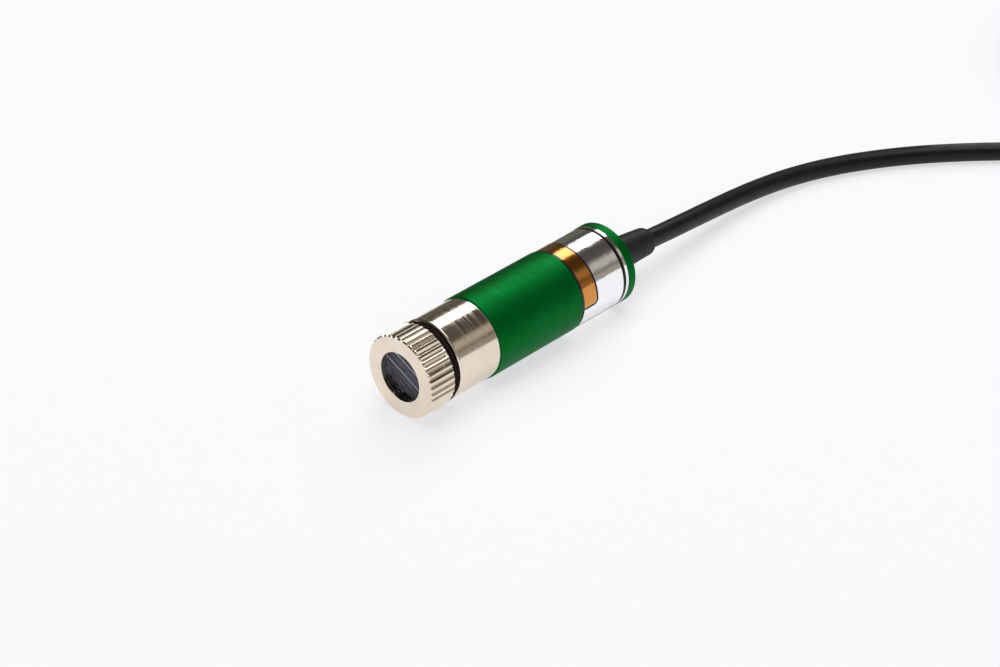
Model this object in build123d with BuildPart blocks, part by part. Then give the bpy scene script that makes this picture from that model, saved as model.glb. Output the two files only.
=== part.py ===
from build123d import *
import math
import os

# Laser diode module, 16 mm across, lying on its side on a flat surface. Millimetres.
# The module's axis runs along Y, the beam leaves towards -Y and the lead towards +Y.
# The origin is on the surface, under the middle of the housing.

# Housing: lengths of its stages, from the front face to the rear face
ring_length = 5.8
seal_gap = 1.6
barrel_exposed = 9.8
tube_length = 36.0

# Housing tube and the foil round it
tube_radius = 8.0
tube_wall = 1.2
tube_edge = 0.4
tube_front_edge = 0.1
label_to_tube_rear = 2.2
label_width = 12.6
label_recess = 0.18
label_thickness = 0.1
label_open_angle = 12.0

# Front barrel, half of it pushed into the tube
barrel_step = 0.25
barrel_wall = 0.7
barrel_edge = 0.3
spigot_length = 8.0
lip_to_spigot_rear = 7.0
lip_thickness = 1.2
lip_depth = 1.88

# Focus ring: a knurled head and a threaded neck, turned in one piece
ring_step = 0.05
ring_edge = 0.3
ring_rear_edge = 0.2
knurl_count = 38
knurl_groove_radius = 0.4
knurl_depth = 0.3
aperture_step = 0.55
aperture_lip = 1.0
neck_wall = 0.7
neck_edge = 0.3
seal_land_step = 0.25
seal_land_length = 1.2
seal_recess = 0.48

# Optics in the focus ring
line_lens_thickness = 2.0
flute_pitch = 1.6
flute_height = 0.3
flute_tilt = 31.5
spacer_length = 4.6
spacer_wall = 0.7
collimator_edge = 1.4
collimator_front_dome = 1.1
collimator_rear_dome = 0.5
retainer_length = 1.6
retainer_land = 1.5
retainer_slot_width = 0.9
retainer_slot_depth = 0.6

# Spring that takes the play out of the focus thread
spring_space = 3.6
spring_wire_radius = 0.25
spring_side_gap = 0.43
spring_turns = 3.5

# Laser diode and its holder
holder_length = 6.0
holder_wall = 2.13
diode_base_radius = 2.8
diode_base_thickness = 1.2
diode_cap_radius = 1.78
diode_cap_length = 2.2
diode_cap_wall = 0.2
diode_window_radius = 0.8
diode_glass_thickness = 0.25
diode_post_width = 1.0
diode_post_length = 1.3
pin_radius = 0.225
pin_circle_radius = 1.0
pin_overlap = 2.25

# Driver board and what is soldered to it
board_thickness = 1.0
board_side_gap = 0.2
board_to_barrel = 0.4
wiring_space = 4.8
chip_size = (3.9, 4.9, 1.4)
chip_place = (-2.7, -2.9)
chip_edge = 0.23
chip_lead_pitch = 1.27
chip_lead_size = (1.05, 0.4, 0.25)
can_place = (-1.2, 2.7)
can_radius = 2.0
can_edge = 0.25
can_base = 4.3
can_base_height = 0.7
can_height = 3.9
trimmer_place = (3.4, -3.6)
trimmer_size = 3.3
trimmer_height = 1.6
trimmer_rotor_radius = 1.2
trimmer_rotor_height = 0.3
trimmer_slot_width = 0.4
resistor_place = (4.2, 2.4)
resistor_size = (1.6, 0.8, 0.45)
resistor_count = 3
resistor_pitch = 2.0
transistor_place = (2.2, 2.2)
transistor_size = (1.3, 2.9, 1.1)
transistor_lead_size = (0.6, 0.4, 0.2)
rectifier_place = (0, 1.5)
rectifier_size = (2.6, 4.3, 2.1)
rectifier_lead_size = (1.5, 0.5, 0.25)

# Rear plug and strain relief
plug_floor = 4.0
plug_cup_wall = 1.3
plug_board_overlap = 1.4
plug_slot_depth = 1.6
grommet_neck_wall = 0.8
grommet_flange_step = 0.75
grommet_flange_thickness = 0.8
boot_base_wall = 1.45
boot_end_wall = 0.75
boot_length = 11.8
boot_edge = 0.5

# Lead: jacket, its two cores, and the neat coil of the stored length
cable_radius = 1.9
core_radius = 0.6
core_web = 0.1
tinned_radius = 0.35
tinned_length = 6.0
core_straight = 1.4
pad_offset = 2.3
pad_reach = 0.9
coil_centre_x = 15.3
coil_centre_y = 178.1
coil_mean_radius = 19.5
coil_columns = 2
coil_layers = 3
coil_edge_share = 0.8
crown_start_angle = -60.0
crown_angle = 270.0

# Cable tie round the coil
tie_angle = 40.0
tie_width = 2.5
tie_thickness = 1.0
tie_head_size = (3.4, 3.6, 4.4)

# Clearances between pieces
press_clearance = 0.02
slide_clearance = 0.05
thread_clearance = 0.08
spring_clearance = 0.1
cable_bore_clearance = 0.05
tie_clearance = 0.1
exact = 1e-4

# Stations along the axis, measured back from the module's front face
barrel_front = ring_length + seal_gap
tube_front = barrel_front + barrel_exposed
tube_rear = tube_front + tube_length
module_length = tube_rear
front_y = -module_length / 2
rear_y = module_length / 2
axis_height = tube_radius
spigot_rear = tube_front + spigot_length
lip_rear = spigot_rear - lip_to_spigot_rear
lip_front = lip_rear - lip_thickness
neck_rear = lip_front - spring_space
line_lens_rear = aperture_lip + line_lens_thickness
spacer_rear = line_lens_rear + spacer_length
collimator_rear = spacer_rear + collimator_edge
holder_rear = lip_rear + holder_length
cap_front = lip_rear + diode_glass_thickness
base_front = cap_front + diode_cap_length
base_rear = base_front + diode_base_thickness
board_front = spigot_rear + board_to_barrel
plug_inner = tube_rear - plug_floor
grommet_front = plug_inner - grommet_flange_thickness
board_rear = grommet_front - wiring_space
board_length = board_rear - board_front
plug_front = board_rear - plug_board_overlap
pin_length = board_front + pin_overlap - base_rear

# Radii that follow from what fits inside what
tube_bore_radius = tube_radius - tube_wall
barrel_radius = tube_radius - barrel_step
spigot_radius = tube_bore_radius - press_clearance
neck_bore_radius = spigot_radius - barrel_wall
lip_bore_radius = neck_bore_radius - lip_depth
diode_pocket_radius = diode_base_radius + slide_clearance
holder_radius = diode_pocket_radius + holder_wall
holder_bore_radius = holder_radius + press_clearance
neck_radius = neck_bore_radius - thread_clearance
ring_radius = tube_radius - ring_step
optics_bore_radius = neck_radius - neck_wall
aperture_radius = optics_bore_radius - aperture_step
lens_radius = optics_bore_radius - slide_clearance
retainer_bore_radius = optics_bore_radius - retainer_land
seal_land_radius = neck_radius + seal_land_step
seal_section_radius = (ring_radius - seal_recess - seal_land_radius - press_clearance) / 2
seal_ring_radius = seal_land_radius + press_clearance + seal_section_radius
spring_radius = neck_bore_radius - spring_side_gap - spring_wire_radius
board_half_width = tube_bore_radius - board_side_gap
plug_radius = tube_bore_radius - slide_clearance
cable_bore_radius = cable_radius + cable_bore_clearance
grommet_neck_radius = cable_bore_radius + grommet_neck_wall
grommet_flange_radius = grommet_neck_radius + grommet_flange_step
boot_base_radius = cable_bore_radius + boot_base_wall
boot_end_radius = cable_bore_radius + boot_end_wall
core_spacing = 2 * core_radius + core_web

# Heights of the driver board: it lies between the diode's one upper and two lower pins
lower_pin_drop = pin_circle_radius * math.sin(math.radians(30))
board_underside = axis_height - lower_pin_drop + pin_radius + press_clearance
board_top = board_underside + board_thickness
part_seat = board_top + press_clearance

# Half sections are drawn with X as the radius and Y as the station behind the front face
section = Plane(origin=(0, front_y, axis_height), x_dir=(1, 0, 0), z_dir=(0, 0, 1))
module_axis = Axis((0, front_y, axis_height), (0, 1, 0))


def station(distance):
    """Plane across the module at a distance behind its front face, facing the rear, with world Z up."""
    return Plane(origin=(0, front_y + distance, axis_height), x_dir=(-1, 0, 0), z_dir=(0, 1, 0))


def half_section(*corners):
    """Closed face in the section plane through (radius, station) corners."""
    with BuildSketch(section) as profile:
        with BuildLine():
            Polyline(*corners, close=True)
        make_face()
    return profile.sketch


def edge_circle(edge, radius, distance):
    """Whether an edge is the circle of one radius at one station of the module."""
    at_station = abs(edge.center().Y - front_y - distance) < exact
    return edge.geom_type == GeomType.CIRCLE and at_station and abs(edge.radius - radius) < exact


# Housing tube: bored from end to end, with a shallow seat for the foil
label_rear = tube_rear - label_to_tube_rear
label_front = label_rear - label_width
seat_radius = tube_radius - label_recess
with BuildPart() as body_tube:
    revolve(
        half_section(
            (tube_bore_radius, tube_front),
            (tube_radius, tube_front),
            (tube_radius, label_front),
            (seat_radius, label_front),
            (seat_radius, label_rear),
            (tube_radius, label_rear),
            (tube_radius, tube_rear),
            (tube_bore_radius, tube_rear),
        ),
        axis=module_axis,
    )
    outer_ends = body_tube.edges().filter_by(
        lambda e: edge_circle(e, tube_radius, tube_rear) or edge_circle(e, tube_radius, tube_front)
    )
    chamfer(outer_ends.sort_by(Axis.Y)[-1], tube_edge)
    chamfer(outer_ends.sort_by(Axis.Y)[0], tube_front_edge)

# Foil in its seat, open along a narrow strip underneath
label_inner_radius = seat_radius + press_clearance
with BuildPart() as foil_label:
    with BuildSketch(station(label_front + press_clearance)):
        Circle(label_inner_radius + label_thickness)
        Circle(label_inner_radius, mode=Mode.SUBTRACT)
        strip = 2 * tube_radius * math.sin(math.radians(label_open_angle / 2))
        with Locations((0, -tube_radius)):
            Rectangle(strip, tube_radius, mode=Mode.SUBTRACT)
    extrude(amount=label_width - 2 * press_clearance)

# Front barrel: bore for the neck, a lip behind it, and a seat for the diode holder
with BuildPart() as front_barrel:
    revolve(
        half_section(
            (neck_bore_radius, barrel_front),
            (barrel_radius, barrel_front),
            (barrel_radius, tube_front),
            (spigot_radius, tube_front),
            (spigot_radius, spigot_rear),
            (holder_bore_radius, spigot_rear),
            (holder_bore_radius, lip_rear),
            (lip_bore_radius, lip_rear),
            (lip_bore_radius, lip_front),
            (neck_bore_radius, lip_front),
        ),
        axis=module_axis,
    )
    front_edges = front_barrel.edges().filter_by(lambda e: edge_circle(e, barrel_radius, barrel_front))
    chamfer(front_edges, barrel_edge)
    rear_edges = front_barrel.edges().filter_by(lambda e: edge_circle(e, spigot_radius, spigot_rear))
    chamfer(rear_edges, barrel_edge)

# Focus ring: knurled head with the beam aperture, land for the seal, and the neck
with BuildPart() as focus_ring:
    revolve(
        half_section(
            (aperture_radius, 0),
            (ring_radius - ring_edge, 0),
            (ring_radius, ring_edge),
            (ring_radius, ring_length - ring_rear_edge),
            (ring_radius - ring_rear_edge, ring_length),
            (seal_land_radius, ring_length),
            (seal_land_radius, ring_length + seal_land_length),
            (neck_radius, ring_length + seal_land_length),
            (neck_radius, neck_rear - neck_edge),
            (neck_radius - neck_edge, neck_rear),
            (optics_bore_radius, neck_rear),
            (optics_bore_radius, aperture_lip),
            (aperture_radius, aperture_lip),
        ),
        axis=module_axis,
    )
    with BuildSketch(station(0)):
        with PolarLocations(ring_radius + knurl_groove_radius - knurl_depth, knurl_count):
            Circle(knurl_groove_radius)
    extrude(amount=ring_length, mode=Mode.SUBTRACT)

# Seal ring on its land, behind the knurled head
with BuildPart() as seal_ring:
    with BuildSketch(section):
        with Locations((seal_ring_radius, ring_length + press_clearance + seal_section_radius)):
            Circle(seal_section_radius)
    revolve(axis=module_axis)

# Line lens: a disc with a row of convex flutes across its front face
flute_rows = 2 * math.ceil(lens_radius / flute_pitch)
flute_edge = flute_rows / 2 * flute_pitch
lens_front = aperture_lip + press_clearance
across_flutes = Vector(math.sin(math.radians(flute_tilt)), 0, math.cos(math.radians(flute_tilt)))
along_flutes = Vector(math.cos(math.radians(flute_tilt)), 0, -math.sin(math.radians(flute_tilt)))
flute_plane = Plane(
    origin=(0, front_y + lens_front, axis_height), x_dir=across_flutes, z_dir=across_flutes.cross(Vector(0, 1, 0))
)
with BuildPart() as line_lens:
    with BuildSketch(flute_plane):
        with BuildLine():
            for row in range(flute_rows):
                left = row * flute_pitch - flute_edge
                ThreePointArc(
                    (left, flute_height), (left + flute_pitch / 2, 0), (left + flute_pitch, flute_height)
                )
            Polyline(
                (flute_edge, flute_height),
                (flute_edge, line_lens_thickness - press_clearance),
                (-flute_edge, line_lens_thickness - press_clearance),
                (-flute_edge, flute_height),
            )
        make_face()
    extrude(amount=2 * lens_radius, both=True)
    with BuildSketch(station(lens_front)):
        Circle(lens_radius)
    extrude(amount=line_lens_thickness, mode=Mode.INTERSECT)

# Spacer tube between the two lenses
with BuildPart() as lens_spacer:
    with BuildSketch(station(line_lens_rear + press_clearance)):
        Circle(lens_radius)
        Circle(lens_radius - spacer_wall, mode=Mode.SUBTRACT)
    extrude(amount=spacer_length - 2 * press_clearance)

# Collimating lens: steeper front face, flatter rear face, plain edge
dome_radius = lens_radius - spacer_wall - slide_clearance
with BuildPart() as collimator_lens:
    with BuildSketch(section):
        with BuildLine():
            Polyline(
                (dome_radius, spacer_rear), (lens_radius, spacer_rear), (lens_radius, collimator_rear),
                (retainer_bore_radius, collimator_rear),
            )
            rear_tip = (0, collimator_rear + collimator_rear_dome)
            front_tip = (0, spacer_rear - collimator_front_dome)
            TangentArc(rear_tip, (retainer_bore_radius, collimator_rear), tangent=(1, 0))
            Line(rear_tip, front_tip)
            TangentArc(front_tip, (dome_radius, spacer_rear), tangent=(1, 0))
        make_face()
    revolve(axis=module_axis)

# Retainer: a threaded ring with two slots for a spanner
retainer_front = collimator_rear + press_clearance
with BuildPart() as lens_retainer:
    with BuildSketch(station(retainer_front)):
        Circle(lens_radius)
        Circle(retainer_bore_radius + slide_clearance, mode=Mode.SUBTRACT)
    extrude(amount=retainer_length)
    with BuildSketch(station(retainer_front + retainer_length - retainer_slot_depth)):
        Rectangle(2 * optics_bore_radius, retainer_slot_width)
    extrude(amount=retainer_length, mode=Mode.SUBTRACT)

# Spring between the neck's end and the barrel's lip
spring_front = neck_rear + spring_clearance + spring_wire_radius
spring_rear = lip_front - spring_clearance - spring_wire_radius
spring_height = spring_rear - spring_front
with BuildPart() as focus_spring:
    with BuildLine():
        spring_path = Helix(
            pitch=spring_height / spring_turns,
            height=spring_height,
            radius=spring_radius,
            center=(0, front_y + spring_front, axis_height),
            direction=(0, 1, 0),
        )
    with BuildSketch(Plane(origin=spring_path @ 0, z_dir=spring_path % 0)):
        Circle(spring_wire_radius)
    sweep(path=spring_path.edge(), is_frenet=True)

# Diode holder: narrow bore round the diode's cap, pocket for its base, open to the rear
cap_bore_radius = diode_cap_radius + slide_clearance + diode_cap_wall
with BuildPart() as diode_holder:
    revolve(
        half_section(
            (cap_bore_radius, lip_rear + press_clearance),
            (holder_radius, lip_rear + press_clearance),
            (holder_radius, holder_rear),
            (diode_pocket_radius, holder_rear),
            (diode_pocket_radius, base_front),
            (cap_bore_radius, base_front),
        ),
        axis=module_axis,
    )

# Diode: gold base with the chip's post, steel cap, window and three pins
with BuildPart() as diode_base:
    with BuildSketch(station(base_front + press_clearance)):
        Circle(diode_base_radius)
        for notch_side in (-1, 1):
            with Locations((notch_side * diode_base_radius, 0)):
                Rectangle(diode_base_thickness / 2, diode_base_thickness / 3, mode=Mode.SUBTRACT)
    extrude(amount=diode_base_thickness - 2 * press_clearance)
    with BuildSketch(station(base_front + press_clearance)):
        with Locations((0, diode_post_width / 2)):
            Rectangle(diode_post_width, diode_post_width)
    extrude(amount=-diode_post_length)

cap_inner_radius = diode_cap_radius - diode_cap_wall
with BuildPart() as diode_cap:
    revolve(
        half_section(
            (diode_window_radius, cap_front),
            (diode_cap_radius, cap_front),
            (diode_cap_radius, base_front),
            (cap_inner_radius, base_front),
            (cap_inner_radius, cap_front + diode_cap_wall),
            (diode_window_radius, cap_front + diode_cap_wall),
        ),
        axis=module_axis,
    )

with BuildPart() as diode_window:
    with BuildSketch(station(cap_front + diode_cap_wall + press_clearance)):
        Circle(cap_inner_radius - slide_clearance)
    extrude(amount=diode_glass_thickness)

with BuildPart() as diode_pins:
    with BuildSketch(station(base_rear)):
        with PolarLocations(pin_circle_radius, 3, start_angle=90):
            Circle(pin_radius)
    extrude(amount=pin_length)

# Driver board between the pins, its rear end in the plug's slots
board_middle = board_top - board_thickness / 2
board_y = front_y + (board_front + board_rear) / 2
board_plane = Plane.XY.offset(part_seat)
with BuildPart() as driver_board:
    with BuildSketch(Plane.XY.offset(board_underside)):
        with Locations((0, board_y)):
            Rectangle(2 * board_half_width, board_length)
    extrude(amount=board_thickness)

# Driver chip with eight leads
chip_x = chip_place[0]
chip_y = board_y + chip_place[1]
with BuildPart() as driver_chip:
    with BuildSketch(board_plane.offset(chip_lead_size[2])):
        with Locations((chip_x, chip_y)):
            Rectangle(chip_size[0], chip_size[1])
    extrude(amount=chip_size[2])
    chip_top = driver_chip.faces().sort_by(Axis.Z)[-1].edges()
    chamfer(chip_top, chip_edge)
    with BuildSketch(board_plane):
        for side in (-1, 1):
            with Locations((chip_x + side * (chip_size[0] + chip_lead_size[0]) / 2, chip_y)):
                with GridLocations(1, chip_lead_pitch, 1, 4):
                    Rectangle(chip_lead_size[0], chip_lead_size[1])
    extrude(amount=chip_lead_size[2])
    with BuildSketch(board_plane.offset(chip_lead_size[2])):
        for side in (-1, 1):
            with Locations((chip_x + side * (chip_size[0] + chip_lead_size[2]) / 2, chip_y)):
                with GridLocations(1, chip_lead_pitch, 1, 4):
                    Rectangle(chip_lead_size[2], chip_lead_size[1])
    extrude(amount=chip_size[2] / 2)

# Smoothing capacitor: a can on a square base
can_x = can_place[0]
can_y = board_y + can_place[1]
with BuildPart() as capacitor:
    with BuildSketch(board_plane):
        with Locations((can_x, can_y)):
            Rectangle(can_base, can_base)
    extrude(amount=can_base_height)
    with BuildSketch(board_plane.offset(can_base_height)):
        with Locations((can_x, can_y)):
            Circle(can_radius)
    extrude(amount=can_height - can_base_height)
    fillet(capacitor.faces().sort_by(Axis.Z)[-1].edges(), can_edge)

# Trimmer that sets the beam power, with a slotted rotor
trimmer_x = trimmer_place[0]
trimmer_y = board_y + trimmer_place[1]
with BuildPart() as trimmer:
    with BuildSketch(board_plane):
        with Locations((trimmer_x, trimmer_y)):
            Rectangle(trimmer_size, trimmer_size)
    extrude(amount=trimmer_height)
    with BuildSketch(board_plane.offset(trimmer_height)):
        with Locations((trimmer_x, trimmer_y)):
            Circle(trimmer_rotor_radius)
    extrude(amount=trimmer_rotor_height)
    with BuildSketch(board_plane.offset(trimmer_height)):
        with Locations((trimmer_x, trimmer_y)):
            Rectangle(2 * trimmer_rotor_radius, trimmer_slot_width)
    extrude(amount=trimmer_rotor_height, mode=Mode.SUBTRACT)

# Resistors in a row
resistor_x = resistor_place[0]
resistor_y = board_y + resistor_place[1]
with BuildPart() as resistors:
    with BuildSketch(board_plane):
        with Locations((resistor_x, resistor_y)):
            with GridLocations(1, resistor_pitch, 1, resistor_count):
                Rectangle(resistor_size[0], resistor_size[1])
    extrude(amount=resistor_size[2])

# Pass transistor with three leads
transistor_x = transistor_place[0]
transistor_y = board_y + transistor_place[1]
with BuildPart() as transistor:
    with BuildSketch(board_plane.offset(transistor_lead_size[2])):
        with Locations((transistor_x, transistor_y)):
            Rectangle(transistor_size[0], transistor_size[1])
    extrude(amount=transistor_size[2] - transistor_lead_size[2])
    lead_reach = transistor_size[0] / 2
    with BuildSketch(board_plane):
        with Locations(
            (transistor_x - lead_reach, transistor_y - transistor_size[1] / 3),
            (transistor_x - lead_reach, transistor_y + transistor_size[1] / 3),
            (transistor_x + lead_reach, transistor_y),
        ):
            Rectangle(transistor_lead_size[0], transistor_lead_size[1])
    extrude(amount=2 * transistor_lead_size[2])

# Rectifier that guards against reversed leads, under the board
rectifier_x = rectifier_place[0]
rectifier_y = board_y + rectifier_place[1]
under_board = Plane.XY.offset(board_underside - press_clearance)
with BuildPart() as rectifier:
    with BuildSketch(under_board.offset(-rectifier_lead_size[2])):
        with Locations((rectifier_x, rectifier_y)):
            Rectangle(rectifier_size[0], rectifier_size[1])
    extrude(amount=-(rectifier_size[2] - rectifier_lead_size[2]))
    with BuildSketch(under_board):
        with Locations((rectifier_x, rectifier_y)):
            with GridLocations(1, rectifier_size[1], 1, 2):
                Rectangle(rectifier_lead_size[0], 2 * rectifier_lead_size[1])
    extrude(amount=-2 * rectifier_lead_size[2])

# Rear plug: a cup whose slotted rim holds the board, with a hole for the strain relief
grommet_hole_radius = grommet_neck_radius + slide_clearance
with BuildPart() as end_plug:
    revolve(
        half_section(
            (plug_radius - plug_cup_wall, plug_front),
            (plug_radius, plug_front),
            (plug_radius, tube_rear),
            (grommet_hole_radius, tube_rear),
            (grommet_hole_radius, plug_inner),
            (plug_radius - plug_cup_wall, plug_inner),
        ),
        axis=module_axis,
    )
    with BuildSketch(station(plug_front)):
        with Locations((0, board_middle - axis_height)):
            Rectangle(2 * tube_radius, board_thickness + 2 * press_clearance)
    extrude(amount=plug_slot_depth, mode=Mode.SUBTRACT)

# Route of the lead's jacket: out of the plug, down to the surface and along it to the coil
coil_outer_radius = coil_mean_radius + coil_columns * cable_radius
coil_height = 2 * cable_radius * coil_layers
lying_height = cable_radius + slide_clearance
cable_points = [
    (0, front_y + grommet_front, axis_height),
    (0, 31.5, axis_height),
    (-0.6, 45.8, 6.35),
    (-1.7, 58.7, 4.6),
    (-2.3, 71.8, 3.1),
    (-1.1, 84.0, 2.2),
    (2.8, 95.3, lying_height),
    (9.8, 107.0, lying_height),
    (18.1, 117.2, lying_height),
    (27.4, 126.6, lying_height),
    (33.4, 138.4, lying_height),
    (36.2, 151.0, lying_height),
    (37.1, 162.8, lying_height),
    (36.7, 174.1, lying_height),
]


def corner_radii(points):
    """Radius of the arc at each inner point: 0.45 of the shorter run over the tangent of half the turn."""
    radii = []
    for before, here, after in zip(points, points[1:], points[2:]):
        run_in = Vector(*here) - Vector(*before)
        run_out = Vector(*after) - Vector(*here)
        half_turn = math.radians(run_in.get_angle(run_out)) / 2
        radii.append(0.45 * min(run_in.length, run_out.length) / math.tan(half_turn))
    return radii


cable_radii = corner_radii(cable_points)
with BuildPart() as cable:
    with BuildLine():
        cable_path = FilletPolyline(*cable_points, radius=cable_radii)
    with BuildSketch(Plane(origin=cable_path @ 0, z_dir=cable_path % 0)):
        Circle(cable_radius)
    sweep(path=cable_path)

# Strain relief: inner flange, neck through the plug and a tapered tail that follows the lead
boot_end_distance = rear_y + boot_length
run_start = Vector(*cable_points[1])
run_end = Vector(*cable_points[2])
boot_end = run_start + (run_end - run_start) * ((boot_end_distance - run_start.Y) / (run_end.Y - run_start.Y))
with BuildPart() as cable_boot:
    with BuildSketch(station(tube_rear + press_clearance)):
        Circle(boot_base_radius)
    with BuildSketch(Plane(origin=boot_end, z_dir=run_end - run_start)):
        Circle(boot_end_radius)
    loft()
    fillet(cable_boot.faces().sort_by(Axis.Y)[-1].edges(), boot_edge)
    with BuildSketch(station(plug_inner - press_clearance)):
        Circle(grommet_neck_radius)
    extrude(amount=plug_floor + 4 * press_clearance)
    with BuildSketch(station(grommet_front)):
        Circle(grommet_flange_radius)
    extrude(amount=grommet_flange_thickness - press_clearance)
    with BuildSketch(Plane(origin=cable_path @ 0, z_dir=cable_path % 0)):
        Circle(cable_bore_radius)
    sweep(path=cable_path, mode=Mode.SUBTRACT)

# Supply leads from the jacket's inner end up onto the board
lead_height = part_seat + core_radius


def supply_lead(side):
    """One insulated core from the jacket's end to its solder pad; side is 1 or -1."""
    jacket_end = front_y + grommet_front
    board_end = front_y + board_rear
    points = [
        (side * core_spacing / 2, jacket_end, axis_height),
        (side * core_spacing / 2, jacket_end - core_straight, axis_height),
        (side * pad_offset, board_end + core_straight / 2, lead_height),
        (side * pad_offset, board_end - pad_reach, lead_height),
    ]
    with BuildPart() as lead:
        with BuildLine():
            lead_path = FilletPolyline(*points, radius=2 * core_radius)
        with BuildSketch(Plane(origin=lead_path @ 0, z_dir=lead_path % 0)):
            Circle(core_radius)
        sweep(path=lead_path)
    return lead


lead_red = supply_lead(1)
lead_black = supply_lead(-1)

# Coil of the stored length: two turns wide and three high, with the last turn in the groove on top
coil_section = Plane(origin=(coil_centre_x, coil_centre_y, 0), x_dir=(1, 0, 0), z_dir=(0, -1, 0))
coil_axis = Axis((coil_centre_x, coil_centre_y, 0), (0, 0, 1))
coil_inner_radius = coil_mean_radius - coil_columns * cable_radius
crown_height = coil_height - cable_radius + math.sqrt(3) * cable_radius
crown_root = coil_height - cable_radius
coil_edge = coil_edge_share * cable_radius


def coil_plane(angle):
    """Upright plane through the coil's axis at an angle from +X, with X outwards and Y up."""
    turn = math.radians(angle)
    outwards = Vector(math.cos(turn), math.sin(turn), 0)
    return Plane(origin=(coil_centre_x, coil_centre_y, 0), x_dir=outwards, z_dir=outwards.cross(Vector(0, 0, 1)))


def coil_point(radius, angle, height):
    """Point of the coil at a radius, an angle from +X and a height."""
    turn = math.radians(angle)
    return (coil_centre_x + radius * math.cos(turn), coil_centre_y + radius * math.sin(turn), height)


with BuildPart() as cable_coil:
    with BuildSketch(coil_section):
        with Locations((coil_mean_radius, coil_height / 2)):
            RectangleRounded(2 * coil_columns * cable_radius, coil_height, coil_edge)
    revolve(axis=coil_axis)
    with BuildSketch(coil_plane(crown_start_angle)):
        with Locations((coil_mean_radius, (crown_root + crown_height + cable_radius) / 2)):
            crown = Rectangle(2 * cable_radius, crown_height + cable_radius - crown_root)
        fillet(crown.vertices().group_by(Axis.Z)[-1], coil_edge)
    revolve(axis=coil_axis, revolution_arc=crown_angle)
    with BuildSketch(coil_plane(tie_angle)):
        with Locations((coil_mean_radius, 0)):
            Rectangle(coil_outer_radius, 2 * (tie_thickness + slide_clearance))
    extrude(amount=tie_width / 2 + slide_clearance, both=True, mode=Mode.SUBTRACT)

# Tie round the coil's bundle, with its locking head on the outside
bundle_top = crown_height + cable_radius + tie_clearance
bundle_inner = coil_inner_radius - tie_clearance
bundle_outer = coil_outer_radius + tie_clearance
bundle_outline = [
    (bundle_inner, tie_thickness),
    (bundle_outer, tie_thickness),
    (bundle_outer, coil_height),
    (coil_mean_radius + cable_radius, bundle_top),
    (coil_mean_radius - cable_radius, bundle_top),
    (bundle_inner, coil_height),
]
with BuildPart() as cable_tie:
    with BuildSketch(coil_plane(tie_angle)):
        Polygon(*bundle_outline, align=None)
        offset(amount=tie_thickness, mode=Mode.ADD)
        Polygon(*bundle_outline, align=None, mode=Mode.SUBTRACT)
    extrude(amount=tie_width / 2, both=True)
    with BuildSketch(coil_plane(tie_angle)):
        with Locations((bundle_outer + tie_head_size[0] / 2, coil_height / 2)):
            Rectangle(tie_head_size[0], tie_head_size[1])
    extrude(amount=tie_head_size[2] / 2, both=True)

# Free ends of the two cores, fanned out on the coil, and their tinned tips
jacket_end_angle = crown_start_angle + crown_angle
core_rest_height = coil_height + core_radius + slide_clearance


def core_end(side, wire_radius, points):
    """Round wire on the coil; side is 1 for the outer core and -1 for the inner one.

    Each point is a distance from the middle turn, an angle past the jacket's end and a height.
    """
    route = []
    for spread, turn, height in points:
        route.append(coil_point(coil_mean_radius + side * spread, jacket_end_angle + turn, height))
    with BuildPart() as wire:
        with BuildLine():
            wire_path = FilletPolyline(*route, radius=corner_radii(route))
        with BuildSketch(Plane(origin=wire_path @ 0, z_dir=wire_path % 0)):
            Circle(wire_radius)
        sweep(path=wire_path)
    return wire


core_points = [
    (core_spacing / 2, 0.3, crown_height),
    (core_spacing / 2, 10, crown_height - 0.1),
    (core_spacing / 2 + 0.5, 26, core_rest_height),
    (core_spacing / 2 + 1.1, 44, core_rest_height),
    (core_spacing / 2 + 1.3, 62, core_rest_height),
]
tip_turn = math.degrees(tinned_length / coil_mean_radius)
tip_points = [
    (core_spacing / 2 + 1.3, 62, core_rest_height),
    (core_spacing / 2 + 1.2, 62 + tip_turn / 2, core_rest_height),
    (core_spacing / 2 + 0.8, 62 + tip_turn, core_rest_height),
]
core_red = core_end(1, core_radius, core_points)
core_black = core_end(-1, core_radius, core_points)
tip_outer = core_end(1, tinned_radius, tip_points)
tip_inner = core_end(-1, tinned_radius, tip_points)
with BuildPart() as core_tips:
    add(tip_outer.part)
    add(tip_inner.part)

pieces = {
    "body_tube": body_tube,
    "foil_label": foil_label,
    "front_barrel": front_barrel,
    "focus_ring": focus_ring,
    "seal_ring": seal_ring,
    "line_lens": line_lens,
    "lens_spacer": lens_spacer,
    "collimator_lens": collimator_lens,
    "lens_retainer": lens_retainer,
    "focus_spring": focus_spring,
    "diode_holder": diode_holder,
    "diode_base": diode_base,
    "diode_cap": diode_cap,
    "diode_window": diode_window,
    "diode_pins": diode_pins,
    "driver_board": driver_board,
    "driver_chip": driver_chip,
    "capacitor": capacitor,
    "trimmer": trimmer,
    "resistors": resistors,
    "transistor": transistor,
    "rectifier": rectifier,
    "end_plug": end_plug,
    "cable_boot": cable_boot,
    "lead_red": lead_red,
    "lead_black": lead_black,
    "cable": cable,
    "cable_coil": cable_coil,
    "cable_tie": cable_tie,
    "core_red": core_red,
    "core_black": core_black,
    "core_tips": core_tips,
}

os.makedirs("parts", exist_ok=True)
for name, piece in pieces.items():
    piece.part.label = name
    export_step(piece.part, f"parts/{name}.step")

# What the lead measures along its route and in its coil
coil_length = 2 * math.pi * coil_mean_radius * (coil_columns * coil_layers + crown_angle / 360)
print("cable radii", [round(radius, 1) for radius in cable_radii])
print("cable route", round(cable_path.length, 1), "coil", round(coil_length, 1))
print("tube volume over section times length",
      round(cable.part.volume / (math.pi * cable_radius**2 * cable_path.length), 4))
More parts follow.
